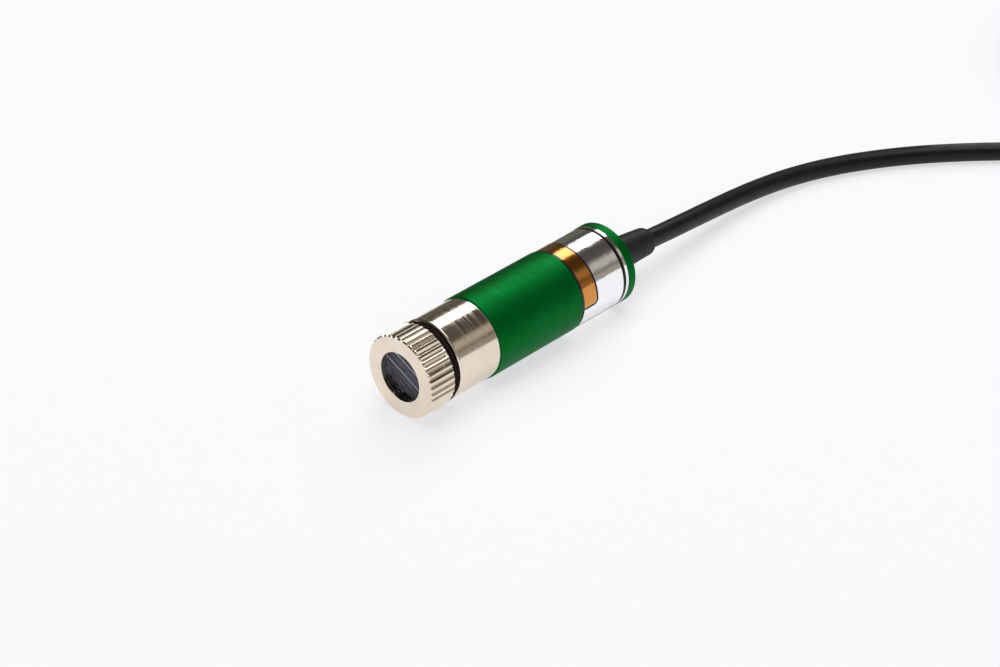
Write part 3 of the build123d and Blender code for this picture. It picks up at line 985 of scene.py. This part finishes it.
@dataclass
class FocusHead:
    """Everything that turns with the knurled ring: the ring, its seal and its two lenses.

    Each pair of groove_profile holds a distance from the groove's middle, as a share of its half width, and
    how deep the groove is there, as a share of its depth.
    """

    finishes: Finishes
    ring_radius: float = 7.95
    ring_length: float = 5.8
    ring_chamfer: float = 0.3
    rear_chamfer: float = 0.2
    lip_ease: float = 0.1
    face_ease: float = 0.08
    crown_ease: float = 0.1
    rear_ease: float = 0.05
    inner_ease: float = 0.06
    aperture_radius: float = 4.75
    aperture_lip: float = 1.0
    optics_radius: float = 5.3
    land_radius: float = 6.25
    land_rear: float = 7.0
    neck_radius: float = 6.0
    neck_rear: float = 13.4
    neck_chamfer: float = 0.3
    groove_count: int = 38
    groove_depth: float = 0.36
    groove_half_width: float = 0.43
    groove_profile: tuple[Pair, ...] = (
        (0.0, 0.94), (0.1, 0.9), (0.2, 0.8), (0.8, 0.2), (0.92, 0.08), (1.02, 0.015), (1.14, 0.0),
    )
    seal_radius: float = 7.82
    seal_rear: float = 7.12
    seal_steps: int = 24
    seal_columns: int = 160
    lens_radius: float = 5.25
    lens_front: float = 1.02
    lens_rear: float = 2.98
    lens_rows: int = 25
    outer_row: float = 0.998
    flute_pitch: float = 1.19
    flute_height: float = 0.06
    flute_tilt: float = 26.2
    flute_steps: int = 6

    @property
    def groove_pitch(self) -> float:
        """Degrees from one groove to the next."""
        return 360 / self.groove_count

    @property
    def groove_half_angle(self) -> float:
        """Degrees that half a groove takes."""
        return math.degrees(self.groove_half_width / self.ring_radius)

    def groove_angles(self) -> list[float]:
        """Angles of the ring's columns, close together where a groove bends.

        Returns:
            The angles in degrees, once round.
        """
        pitch = self.groove_pitch
        bends = [share * self.groove_half_angle for share, _ in self.groove_profile]
        angles = []
        for groove in range(self.groove_count):
            middle = groove * pitch
            angles += [middle + bend for bend in bends]
            angles.append(middle + pitch / 2)
            angles += [middle + pitch - bend for bend in bends[:0:-1]]
        return angles

    def groove_ceiling(self, angle: float, station: float) -> float:
        """Radius that the grooves leave at an angle.

        Args:
            angle: Degrees round the axis.
            station: Distance behind the front face.

        Returns:
            The largest radius there.
        """
        if station > self.ring_length + self.rear_chamfer:
            return self.ring_radius
        pitch = self.groove_pitch
        away = abs((angle + pitch / 2) % pitch - pitch / 2) / self.groove_half_angle
        for (near, deep), (far, shallow) in zip(self.groove_profile, self.groove_profile[1:]):
            if away < far:
                share = (away - near) / (far - near)
                return self.ring_radius - self.groove_depth * (deep + (shallow - deep) * share)
        return self.ring_radius

    def build_ring(self) -> None:
        """Builds the ring with its knurled head, aperture, land and neck."""
        corners = [
            Corner(self.aperture_radius, 0.0, self.lip_ease),
            Corner(self.ring_radius - self.ring_chamfer, 0.0, self.face_ease),
            Corner(self.ring_radius, self.ring_chamfer, self.crown_ease),
            Corner(self.ring_radius, self.ring_length - self.rear_chamfer, self.rear_ease),
            Corner(self.ring_radius - self.rear_chamfer, self.ring_length, self.rear_ease),
            Corner(self.land_radius, self.ring_length),
            Corner(self.land_radius, self.land_rear),
            Corner(self.neck_radius, self.land_rear),
            Corner(self.neck_radius, self.neck_rear - self.neck_chamfer),
            Corner(self.neck_radius - self.neck_chamfer, self.neck_rear),
            Corner(self.optics_radius, self.neck_rear),
            Corner(self.optics_radius, self.aperture_lip),
            Corner(self.aperture_radius, self.aperture_lip, self.inner_ease),
        ]
        finish = self.finishes.nickel
        ring = turned("knurled_ring", corners, finish, self.groove_angles(), self.groove_ceiling)
        place(ring, Body.FOCUS_HEAD, Slot.NICKEL, "focus_ring")

    def flute_offset(self, across: float) -> float:
        """Depth of the fluted face behind its crests.

        Args:
            across: Distance from the lens's middle across the flutes.

        Returns:
            The depth.
        """
        half = self.flute_pitch / 2
        from_crest = across % self.flute_pitch - half
        bend = (half**2 + self.flute_height**2) / (2 * self.flute_height)
        return bend - math.sqrt(bend**2 - from_crest**2)

    def build_line_lens(self) -> None:
        """Builds the fluted disc, with its rows of points lined up with the flutes."""
        tilt = math.radians(self.flute_tilt)
        across_way = Vector((math.sin(tilt), 0, math.cos(tilt)))
        along_way = Vector((math.cos(tilt), 0, -math.sin(tilt)))
        step = self.flute_pitch / self.flute_steps
        reach = int(self.lens_radius / step)
        rim = self.lens_radius * self.outer_row
        columns = [-rim, *(index * step for index in range(-reach, reach + 1)), rim]
        front: list[Vector] = []
        rear: list[Vector] = []
        for across in columns:
            chord = math.sqrt(self.lens_radius**2 - across**2)
            for row in range(self.lens_rows):
                along = chord * math.sin(math.pi * (row / (self.lens_rows - 1) - 0.5))
                spot = across_way * across + along_way * along + axis_point(0.0)
                front.append((spot + Vector((0, self.lens_front + self.flute_offset(across), 0))) * MM)
                rear.append((spot + Vector((0, self.lens_rear, 0))) * MM)
        faces = sheet_faces(len(columns), self.lens_rows)
        lens = make_piece("fluted_lens", front + rear, faces, self.finishes.line_lens, crease=35.0)
        place(lens, Body.FOCUS_HEAD, Slot.CLEAR, "line_lens")

    def build_seal(self) -> None:
        """Builds the rubber ring behind the knurled head."""
        half_height = (self.seal_radius - self.land_radius) / 2
        half_width = (self.seal_rear - self.ring_length - PRESS_GAP) / 2
        corners = []
        for step in range(self.seal_steps):
            turn = 2 * math.pi * step / self.seal_steps
            radius = self.seal_radius - half_height * (1 - math.cos(turn))
            corners.append(Corner(radius, self.seal_rear - half_width * (1 - math.sin(turn))))
        seal = turned("seal_cord_ring", corners, self.finishes.seal, even_angles(self.seal_columns))
        place(seal, Body.FOCUS_HEAD, Slot.RUBBER, "seal_ring")

    def build(self) -> None:
        """Builds and dresses the whole head."""
        self.build_ring()
        self.build_line_lens()
        self.build_seal()
        dress(self.finishes.ground_lens, "collimator_lens")
        dress(self.finishes.black_metal, "lens_spacer", "lens_retainer")


@dataclass
class FocusSpring:
    """Wire spring between the neck's end and the barrel's lip; it shortens as the ring is turned in."""

    finishes: Finishes
    coil_radius: float = 5.4
    wire_radius: float = 0.25
    wire_sides: int = 12
    front: float = 13.75
    rear: float = 16.65
    turns: float = 3.5
    steps_per_turn: int = 40

    def build(self) -> None:
        """Builds the spring where it stands at rest."""
        steps = int(self.turns * self.steps_per_turn)
        path = []
        for index in range(steps + 1):
            share = index / steps
            station = self.front + (self.rear - self.front) * share
            path.append(on_axis(self.coil_radius, 360 * self.turns * share, station) / MM)
        points, faces = swept_rod(path, self.wire_radius, self.wire_sides)
        spring = make_piece("wire_spring", points, faces, self.finishes.spring)
        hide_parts("focus_spring")
        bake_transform(spring)
        log.info("%s: bends between %s and %s", spring.name, Body.HOUSING.value, Body.SPRING_SEAT.value)


@dataclass
class Housing:
    """Front barrel, green tube, foil band and rear plug."""

    finishes: Finishes
    barrel_radius: float = 7.75
    barrel_front: float = 7.4
    barrel_bore: float = 6.08
    barrel_chamfer: float = 0.3
    barrel_ease: float = 0.06
    mouth_ease: float = 0.08
    shoulder_ease: float = 0.05
    spigot_radius: float = 6.78
    spigot_rear: float = 25.2
    lip_radius: float = 4.2
    lip_front: float = 17.0
    lip_rear: float = 18.2
    holder_seat: float = 5.0
    tube_front: float = 17.2
    tube_radius: float = 8.0
    tube_bore: float = 6.8
    tube_front_chamfer: float = 0.1
    tube_front_ease: float = 0.04
    tube_edge_ease: float = 0.03
    rim_chamfer: float = 0.4
    rim_ease: float = 0.08
    rim_inner_ease: float = 0.06
    columns: int = 192
    label_front: float = 38.4
    label_rear: float = 51.0
    label_seat: float = 7.82
    label_inner: float = 7.84
    label_outer: float = 7.94
    label_gap_angle: float = 12.0
    label_columns: int = 430
    label_rows: int = 36
    wave_height: float = 0.018
    wave_scale: float = 0.33
    ripple_share: float = 0.5
    ripple_scale: float = 0.8
    ripple_start: Triple = (7.0, 3.0, 1.0)
    calm_rows: int = 4

    def build_barrel(self) -> None:
        """Builds the nickel barrel, with its spigot inside the tube."""
        chamfer = self.barrel_chamfer
        corners = [
            Corner(self.barrel_bore, self.barrel_front, self.mouth_ease),
            Corner(self.barrel_radius - chamfer, self.barrel_front, self.barrel_ease),
            Corner(self.barrel_radius, self.barrel_front + chamfer, self.barrel_ease),
            Corner(self.barrel_radius, self.tube_front, self.shoulder_ease),
            Corner(self.spigot_radius, self.tube_front),
            Corner(self.spigot_radius, self.spigot_rear - chamfer),
            Corner(self.spigot_radius - chamfer, self.spigot_rear),
            Corner(self.holder_seat, self.spigot_rear),
            Corner(self.holder_seat, self.lip_rear),
            Corner(self.lip_radius, self.lip_rear),
            Corner(self.lip_radius, self.lip_front),
            Corner(self.barrel_bore, self.lip_front),
        ]
        barrel = turned("nickel_barrel", corners, self.finishes.nickel, even_angles(self.columns))
        place(barrel, Body.HOUSING, Slot.NICKEL, "front_barrel")

    def build_tube(self) -> None:
        """Builds the green tube with the shallow seat of the foil."""
        corners = [
            Corner(self.tube_bore, self.tube_front),
            Corner(self.tube_radius - self.tube_front_chamfer, self.tube_front, self.tube_edge_ease),
            Corner(self.tube_radius, self.tube_front + self.tube_front_chamfer, self.tube_front_ease),
            Corner(self.tube_radius, self.label_front, self.tube_edge_ease),
            Corner(self.label_seat, self.label_front),
            Corner(self.label_seat, self.label_rear),
            Corner(self.tube_radius, self.label_rear, self.tube_edge_ease),
            Corner(self.tube_radius, REAR_STATION - self.rim_chamfer, self.rim_ease),
            Corner(self.tube_radius - self.rim_chamfer, REAR_STATION, self.rim_ease),
            Corner(self.tube_bore, REAR_STATION, self.rim_inner_ease),
        ]
        tube = turned("green_tube", corners, self.finishes.green, even_angles(self.columns))
        place(tube, Body.HOUSING, Slot.GREEN, "body_tube")

    def label_lift(self, angle: float, station: float, row: int) -> float:
        """Height of the foil's buckles over its true cylinder.

        Args:
            angle: Degrees round the axis.
            station: Distance behind the front face.
            row: Row of points across the band; the buckles die out towards the first and the last.

        Returns:
            The height in millimetres.
        """
        flat = on_axis(self.label_outer, angle, station) / MM
        ripple = noise.noise(flat * self.ripple_scale + Vector(self.ripple_start))
        wave = noise.noise(flat * self.wave_scale) + self.ripple_share * ripple
        calm = min(1.0, row / self.calm_rows, (self.label_rows - 1 - row) / self.calm_rows)
        return self.wave_height * wave * calm

    def build_label(self) -> None:
        """Builds the foil band as a thin sheet with slight buckles, open underneath."""
        first = -90 + self.label_gap_angle / 2
        sweep = 360 - self.label_gap_angle
        length = self.label_rear - self.label_front - 2 * PRESS_GAP
        outer: list[Vector] = []
        inner: list[Vector] = []
        for column in range(self.label_columns):
            angle = first + sweep * column / (self.label_columns - 1)
            for row in range(self.label_rows):
                station = self.label_front + PRESS_GAP + length * row / (self.label_rows - 1)
                lift = self.label_lift(angle, station, row)
                outer.append(on_axis(self.label_outer + lift, angle, station))
                inner.append(on_axis(self.label_inner, angle, station))
        faces = sheet_faces(self.label_columns, self.label_rows)
        label = make_piece("foil_band", outer + inner, faces, self.finishes.foil)
        place(label, Body.HOUSING, Slot.FOIL, "foil_label")

    def build(self) -> None:
        """Builds and dresses the housing."""
        self.build_barrel()
        self.build_tube()
        self.build_label()
        dress(self.finishes.plug, "end_plug")


@dataclass
class DiodeAndDriver:
    """The diode in its holder and the driver board with its parts, all inside the housing."""

    finishes: Finishes

    def build(self) -> None:
        """Dresses the diode and the board."""
        dress(self.finishes.holder, "diode_holder")
        dress(self.finishes.gold, "diode_base", "diode_pins")
        dress(self.finishes.cap, "diode_cap")
        dress(self.finishes.ground_lens, "diode_window")
        dress(self.finishes.board, "driver_board")
        dress(self.finishes.chip, "driver_chip", "resistors", "transistor", "rectifier")
        dress(self.finishes.can, "capacitor")
        dress(self.finishes.trimmer, "trimmer")
        dress(self.finishes.red, "lead_red")
        dress(self.finishes.black, "lead_black")


@dataclass
class StrainRelief:
    """Rubber strain relief: inner flange, neck through the plug and a tapered tail round the lead."""

    finishes: Finishes
    bore: float = 1.95
    flange: float = 3.5
    flange_front: float = 48.4
    flange_rear: float = 49.16
    flange_edge: float = 0.1
    neck: float = 2.75
    base: float = 3.4
    base_edge: float = 0.06
    end: float = 2.7
    end_edge: float = 0.5
    mouth_edge: float = 0.08
    bore_shares: Pair = (0.99, 0.5)
    tail_bend: Triple = (0.0, 32.6, 8.0)
    tail_tip: Triple = (-0.29, 38.4, 7.204)
    tail_length: float = 11.85
    tail_steps: int = 16
    edge_steps: int = 5
    sides: int = 64

    def along(self, share: float) -> tuple[Vector, Vector]:
        """Point and direction of the tail's centreline.

        Args:
            share: From 0 at the plug to 1 at the tail's end.

        Returns:
            The point in millimetres and the direction.
        """
        foot = axis_point(REAR_STATION + PRESS_GAP)
        bend, tip = Vector(self.tail_bend), Vector(self.tail_tip)
        point = foot * (1 - share) ** 2 + bend * 2 * share * (1 - share) + tip * share * share
        heading = (bend - foot) * (1 - share) + (tip - bend) * share
        return point, heading.normalized()

    def rings(self) -> list[tuple[Vector, Vector, float]]:
        """Rings of points round the strain relief, out along the skin and back along the bore.

        Returns:
            Centre, direction and radius of each ring.
        """
        back = Vector((0, 1, 0))
        foot = axis_point(REAR_STATION + PRESS_GAP)
        front, rear = axis_point(self.flange_front), axis_point(self.flange_rear)
        rings = [
            (front, back, self.bore),
            (front, back, self.flange - self.flange_edge),
            (axis_point(self.flange_front + self.flange_edge), back, self.flange),
            (rear, back, self.flange),
            (rear, back, self.neck),
            (foot, back, self.neck),
            (foot, back, self.base - self.base_edge),
            (foot + back * self.base_edge, back, self.base),
        ]
        body_end = 1 - self.end_edge / self.tail_length
        for step in range(1, self.tail_steps + 1):
            share = body_end * step / self.tail_steps
            rings.append((*self.along(share), self.base + (self.end - self.base) * share))
        for step in range(1, self.edge_steps + 1):
            turn = math.pi / 2 * step / self.edge_steps
            share = body_end + (1 - body_end) * math.sin(turn)
            rings.append((*self.along(share), self.end - self.end_edge * (1 - math.cos(turn))))
        rings.append((*self.along(1.0), self.bore + self.mouth_edge))
        rings += [(*self.along(share), self.bore) for share in self.bore_shares]
        rings.append((foot, back, self.bore))
        return rings

    def build(self) -> Object:
        """Builds the strain relief.

        Returns:
            The strain relief.
        """
        points: list[Vector] = []
        rings = self.rings()
        for centre, heading, radius in rings:
            across = heading.cross(Vector((0, 0, 1))).normalized()
            upwards = across.cross(heading).normalized()
            points += circle_points(centre, across, upwards, radius, self.sides)
        faces = grid_faces(len(rings), self.sides)
        boot = make_piece("strain_relief", points, faces, self.finishes.boot, crease=42.0)
        return place(boot, Body.HOUSING, Slot.BOOT, "cable_boot")


@dataclass
class CoilTie:
    """Nylon tie round the coil's bundle: a strap that follows an outline, and its locking head outside."""

    finishes: Finishes
    coil_centre: Pair
    angle: float
    width: float = 2.5
    thickness: float = 1.0
    edge: float = 0.2
    lift: float = 0.02
    corner_steps: int = 6
    outline: tuple[Pair, ...] = (
        (15.6, 1.0),
        (23.4, 1.0),
        (23.4, 11.4),
        (21.4, 14.79),
        (17.6, 14.79),
        (15.6, 11.4),
    )
    head: Triple = (3.4, 4.4, 3.6)
    head_height: float = 5.7
    head_edge: float = 0.45

    def rail(self) -> list[tuple[Vector, Vector]]:
        """Follows the outline, and turns the strap step by step at each of its corners.

        Returns:
            Points of the outline, each with a direction that the strap faces there.
        """
        corners = [Vector(corner) for corner in self.outline]
        rail: list[tuple[Vector, Vector]] = []
        for index, corner in enumerate(corners):
            run_in = (corner - corners[index - 1]).normalized()
            run_out = (corners[(index + 1) % len(corners)] - corner).normalized()
            facing_in, facing_out = Vector((run_in.y, -run_in.x)), Vector((run_out.y, -run_out.x))
            for step in range(self.corner_steps + 1):
                rail.append((corner, facing_in.lerp(facing_out, step / self.corner_steps).normalized()))
        return rail

    def section(self) -> list[Pair]:
        """Section of the strap, with its edges taken off.

        Returns:
            Its points as depth from the bundle and distance to the side.
        """
        half, thick, edge = self.width / 2, self.thickness, self.edge
        inner = [(self.lift, edge - half), (self.lift, half - edge)]
        outer = [(thick, half - edge), (thick, edge - half)]
        return [*inner, (edge, half), (thick - edge, half), *outer, (thick - edge, -half), (edge, -half)]

    def build(self) -> Object:
        """Builds the tie.

        Returns:
            The tie.
        """
        angle = math.radians(self.angle)
        outwards = Vector((math.cos(angle), math.sin(angle), 0))
        sideways = Vector((-math.sin(angle), math.cos(angle), 0))
        upwards = Vector((0, 0, 1))
        centre = Vector((*self.coil_centre, 0))
        rail, section = self.rail(), self.section()
        points: list[Vector] = []
        for corner, facing in rail:
            for depth, side in section:
                spot = corner + facing * depth
                points.append((centre + outwards * spot.x + upwards * spot.y + sideways * side) * MM)
        faces = grid_faces(len(rail), len(section))
        head_reach = self.outline[1][0] + self.head[0] / 2
        head_middle = centre + outwards * head_reach + upwards * self.head_height
        axes = Matrix((outwards, sideways, upwards)).transposed().to_4x4()
        matrix = Matrix.Translation(head_middle) @ axes
        head_points, head_faces = bevelled_block(Vector(self.head), self.head_edge, matrix, len(points))
        finish = self.finishes.nylon
        tie = make_piece("coil_tie", points + head_points, faces + head_faces, finish, crease=40.0)
        return place(tie, Body.HOUSING, Slot.TIE, "cable_tie")


@dataclass
class SupplyLead:
    """Round two-core lead: its route from the plug, the coil of its stored length, strain relief and tie.

    Each row of winding holds the degrees wound so far, the distance from the coil's mean radius and the
    height of the lead's middle. Each pair of tie_lift_shares holds how many degrees from the tie it
    reaches, and the share of tie_lift by which the lead is raised there.
    """

    finishes: Finishes
    radius: float = 1.9
    real_length: float = 1.0
    route: tuple[Triple, ...] = (
        (0.0, 21.8, 8.0),
        (0.0, 31.5, 8.0),
        (-0.6, 45.8, 6.35),
        (-1.7, 58.7, 4.6),
        (-2.3, 71.8, 3.1),
        (-1.1, 84.0, 2.2),
        (2.8, 95.3, 1.95),
        (9.8, 107.0, 1.95),
        (18.1, 117.2, 1.95),
        (27.4, 126.6, 1.95),
        (33.4, 138.4, 1.95),
        (36.2, 151.0, 1.95),
        (37.1, 162.8, 1.95),
        (36.7, 174.1, 1.95),
    )
    coil_centre: Pair = (15.3, 178.1)
    coil_radius: float = 19.5
    coil_step: float = 20.0
    coil_first: float = 10.0
    coil_last: float = 2370.0
    winding: tuple[Triple, ...] = (
        (0.0, 1.9, 1.95),
        (300.0, 1.9, 1.95),
        (340.0, -1.9, 1.95),
        (660.0, -1.9, 1.95),
        (680.0, -3.4, 3.85),
        (700.0, -1.9, 5.75),
        (1020.0, -1.9, 5.75),
        (1060.0, 1.9, 5.75),
        (1380.0, 1.9, 5.75),
        (1400.0, 3.4, 7.65),
        (1420.0, 1.9, 9.55),
        (1740.0, 1.9, 9.55),
        (1780.0, -1.9, 9.55),
        (2050.0, -1.9, 9.55),
        (2095.0, -1.6, 12.2),
        (2140.0, 0.0, 12.79),
        (2370.0, 0.0, 12.79),
    )
    tie_angle: float = 40.0
    tie_lift: float = 1.05
    tie_lift_top: float = 11.4
    tie_lift_shares: tuple[Pair, ...] = ((15.0, 1.0), (35.0, 0.4), (360.0, 0.0))
    curve_order: int = 3
    curve_steps: int = 6
    bevel_steps: int = 8

    def wound(self, angle: float) -> Vector:
        """Control point of the winding at an angle counted on through its turns.

        The lead rises over the tie's strap, least on top. The curve passes inside its control points, so
        they stand out far enough for it to keep its radius, apart from the last one, which it ends at.

        Args:
            angle: Degrees since the first turn's start.

        Returns:
            The point in millimetres.
        """
        for before, after in zip(self.winding, self.winding[1:]):
            if angle <= after[0]:
                break
        share = min(1.0, max(0.0, (angle - before[0]) / (after[0] - before[0])))
        offset = before[1] + (after[1] - before[1]) * share
        height = before[2] + (after[2] - before[2]) * share
        from_tie = abs((angle - self.tie_angle + 180) % 360 - 180)
        lift = next(lift for limit, lift in self.tie_lift_shares if from_tie < limit)
        height += lift * self.tie_lift * max(0.0, 1 - (height - self.radius) / self.tie_lift_top)
        swell = 2 / (1 + math.cos(math.radians(self.coil_step) / 2) ** 2)
        reach = (self.coil_radius + offset) * (1.0 if angle >= self.coil_last else swell)
        turn = math.radians(angle)
        x, y = self.coil_centre
        return Vector((x + reach * math.cos(turn), y + reach * math.sin(turn), height))

    def centreline(self) -> list[Vector]:
        """Control points of the whole lead, from inside the plug to the jacket's end.

        Returns:
            The points in millimetres.
        """
        points = [Vector(point) for point in self.route]
        angle = self.coil_first
        while angle <= self.coil_last:
            points.append(self.wound(angle))
            angle += self.coil_step
        return points

    def build_jacket(self) -> Object:
        """Builds the jacket as one smooth curve.

        Returns:
            The jacket.
        """
        points = self.centreline()
        curve = bpy.data.curves.new("lead_jacket", "CURVE")
        curve.dimensions = "3D"
        spline = curve.splines.new("NURBS")
        spline.points.add(len(points) - 1)
        for knot, point in zip(spline.points, points):
            knot.co = (*(point * MM), 1.0)
        spline.order_u = self.curve_order
        spline.use_endpoint_u = True
        curve.resolution_u = self.curve_steps
        curve.bevel_depth = self.radius * MM
        curve.bevel_resolution = self.bevel_steps
        curve.use_fill_caps = True
        curve.materials.append(self.finishes.jacket)
        return place(add_object("lead_jacket", curve), Body.HOUSING, Slot.JACKET, "cable", "cable_coil")

    def build(self) -> None:
        """Builds the lead and what is on it."""
        jacket = self.build_jacket()
        boot = StrainRelief(self.finishes).build()
        tie = CoilTie(self.finishes, self.coil_centre, self.tie_angle).build()
        dress(self.finishes.red, "core_red")
        dress(self.finishes.black, "core_black")
        dress(self.finishes.tinned, "core_tips")


@dataclass
class Studio:
    """White surface, soft light and the camera. Its sizes are metres, apart from the camera's own.

    Each stop of a wall holds how steeply one looks up, as the sine of the angle, and the colour there.
    """

    floor_radius: float = 4.0
    floor_sides: int = 96
    floor_white: Colour = (0.97, 0.972, 0.99)
    floor_fibre: Colour = (0.966, 0.969, 0.986)
    floor_paper: Colour = (0.98, 0.985, 1.03)
    floor_bounce: Colour = (0.85, 0.85, 0.86)
    fibre_scale: float = 0.8
    fade: Pair = (0.35, 1.6)
    glow: Pair = (0.66, 0.985)
    paper: Pair = (0.36, 0.0)
    wall_meeting: Pair = (-0.1, 0.4)
    left_wall: tuple[tuple[float, Colour], ...] = (
        (0.085, (0.975, 0.975, 0.985)),
        (0.13, (0.15, 0.15, 0.12)),
        (0.2, (0.125, 0.125, 0.1)),
        (0.3, (0.07, 0.066, 0.056)),
        (0.9, (0.055, 0.049, 0.043)),
    )
    right_wall: tuple[tuple[float, Colour], ...] = (
        (0.085, (0.975, 0.975, 0.985)),
        (0.12, (0.25, 0.235, 0.205)),
        (0.23, (0.34, 0.31, 0.265)),
        (0.36, (0.2, 0.18, 0.15)),
        (0.49, (0.46, 0.43, 0.38)),
        (0.58, (0.45, 0.42, 0.37)),
        (0.7, (0.08, 0.07, 0.058)),
        (0.9, (0.055, 0.049, 0.043)),
    )
    box_way: Triple = (-0.412, 0.6, 0.685)
    box_along: Triple = (0.825, 0.0, 0.565)
    box_distance: float = 2.2
    box_size: Pair = (0.95, 1.7)
    box_radiance: float = 3.2
    overhead_strength: float = 1.8
    overhead_angle: float = 48.0
    card_way: Pair = (-0.804, 0.595)
    card_distance: float = 0.06
    card_size: Pair = (0.2, 0.03)
    card_colour: Colour = (0.13, 0.13, 0.09)
    card_shade: float = 0.8
    card_fibre_scale: float = 0.1
    sensor_width: float = 36.0
    lens: float = 90.62
    clip_start: float = 0.01
    camera_place: Triple = (0.26296, -0.27487, 0.25384)
    camera_tilt: float = 56.76
    camera_turn: float = 43.89

    def build_floor(self) -> None:
        """Lays a large white surface that keeps the object's shadow and fades into the white surround."""
        graph = FinishGraph("white_surface")
        distance = graph.length(graph.metres)
        fibre = graph.ease(graph.noise(self.fibre_scale, detail=3.0), *NOISE_SPAN)
        white = graph.blend(fibre, self.floor_white, self.floor_fibre)
        glow = {"Color": white, "Strength": graph.ease(distance, *self.fade, *self.glow)}
        share = graph.ease(distance, *self.fade, *self.paper)
        paper = graph.blend(share, (0.0, 0.0, 0.0), self.floor_paper)
        seen = graph.node(
            "ShaderNodeAddShader",
            {
                0: graph.node("ShaderNodeEmission", glow).outputs[0],
                1: graph.node("ShaderNodeBsdfDiffuse", {"Color": paper}).outputs[0],
            },
        )
        plain = graph.node("ShaderNodeBsdfDiffuse", {"Color": (*self.floor_bounce, 1.0)})
        rays = graph.node("ShaderNodeLightPath").outputs
        direct = graph.calc("MAXIMUM", rays["Is Camera Ray"], rays["Is Glossy Ray"])
        direct = graph.calc("MAXIMUM", direct, rays["Is Transmission Ray"])
        mixed = graph.node("ShaderNodeMixShader", {0: direct, 1: plain.outputs[0], 2: seen.outputs[0]})
        radius = self.floor_radius
        turns = [2 * math.pi * side / self.floor_sides for side in range(self.floor_sides)]
        rim = [(radius * math.cos(turn), radius * math.sin(turn), 0.0) for turn in turns]
        mesh = new_mesh("white_surface", rim, [tuple(range(self.floor_sides))], graph.surface(mixed))
        add_object("white_surface", mesh)

    def build_surround(self) -> None:
        """Makes the room: white round the horizon, olive walls to the left and tan ones to the right."""
        world = bpy.data.worlds.new("studio_surround")
        bpy.context.scene.world = world
        world.use_nodes = True
        graph = Graph(world.node_tree)
        way = graph.node("ShaderNodeTexCoord").outputs["Generated"]
        x, _, z = graph.node("ShaderNodeSeparateXYZ", {0: way}).outputs
        side = graph.ease(x, *self.wall_meeting)
        walls = graph.blend(side, graph.ramp(z, self.left_wall), graph.ramp(z, self.right_wall))
        background = graph.node("ShaderNodeBackground", {"Color": walls})
        graph.node("ShaderNodeOutputWorld", {"Surface": background.outputs[0]})

    def build_lamps(self) -> None:
        """Hangs the soft box behind the module and the wide overhead light."""
        box = bpy.data.lights.new("soft_box", "AREA")
        box.shape = "RECTANGLE"
        box.size, box.size_y = self.box_size
        box.energy = self.box_radiance * math.pi * math.prod(self.box_size)
        way = Vector(self.box_way).normalized()
        across = way.cross(Vector(self.box_along)).normalized()
        lamp = add_object("soft_box", box)
        lamp.location = way * self.box_distance
        lamp.rotation_euler = Matrix((across.cross(way), across, way)).transposed().to_euler()
        lamp.visible_camera = False
        overhead = bpy.data.lights.new("overhead", "SUN")
        overhead.energy = self.overhead_strength
        overhead.angle = math.radians(self.overhead_angle)
        add_object("overhead", overhead)

    def build_card(self) -> None:
        """Stands a dark card behind the module; only polished surfaces see it, as a dark upper edge."""
        graph = FinishGraph("dark_card")
        darker = tuple(self.card_shade * part for part in self.card_colour)
        tone = graph.blend(graph.noise(self.card_fibre_scale), self.card_colour, darker)
        glow = graph.node("ShaderNodeEmission", {"Color": tone, "Strength": 1.0})
        way = Vector((*self.card_way, 0.0))
        along = Vector((-way.y, way.x, 0.0)) * self.card_size[0] / 2
        foot = way * self.card_distance
        top = Vector((0.0, 0.0, self.card_size[1]))
        corners = [foot - along, foot + along, foot + along + top, foot - along + top]
        card = add_object("dark_card", new_mesh("dark_card", corners, [(0, 1, 2, 3)], graph.surface(glow)))
        card.visible_camera = False
        card.visible_diffuse = False
        card.visible_shadow = False
        card.visible_transmission = False

    def build_camera(self) -> None:
        """Places the camera at the photograph's viewing angle."""
        camera = bpy.data.cameras.new("camera")
        camera.sensor_width = self.sensor_width
        camera.lens = self.lens
        camera.clip_start = self.clip_start
        viewer = add_object("camera", camera)
        viewer.location = self.camera_place
        viewer.rotation_euler = (math.radians(self.camera_tilt), 0.0, math.radians(self.camera_turn))
        bpy.context.scene.camera = viewer
        bpy.context.scene.view_settings.view_transform = "Standard"

    def build(self) -> None:
        """Builds the whole studio."""
        self.build_floor()
        self.build_surround()
        self.build_lamps()
        self.build_card()
        self.build_camera()
        log.info("studio: floor, surround, lamps, card and camera")


def main() -> None:
    """Builds the studio and every sub-assembly in order."""
    logging.basicConfig(level=logging.INFO, format="%(message)s")
    Studio().build()
    finishes = Finishes()
    SupplyLead(finishes).build()
    FocusHead(finishes).build()
    FocusSpring(finishes).build()
    Housing(finishes).build()
    DiodeAndDriver(finishes).build()


if __name__ == "__main__":
    main()
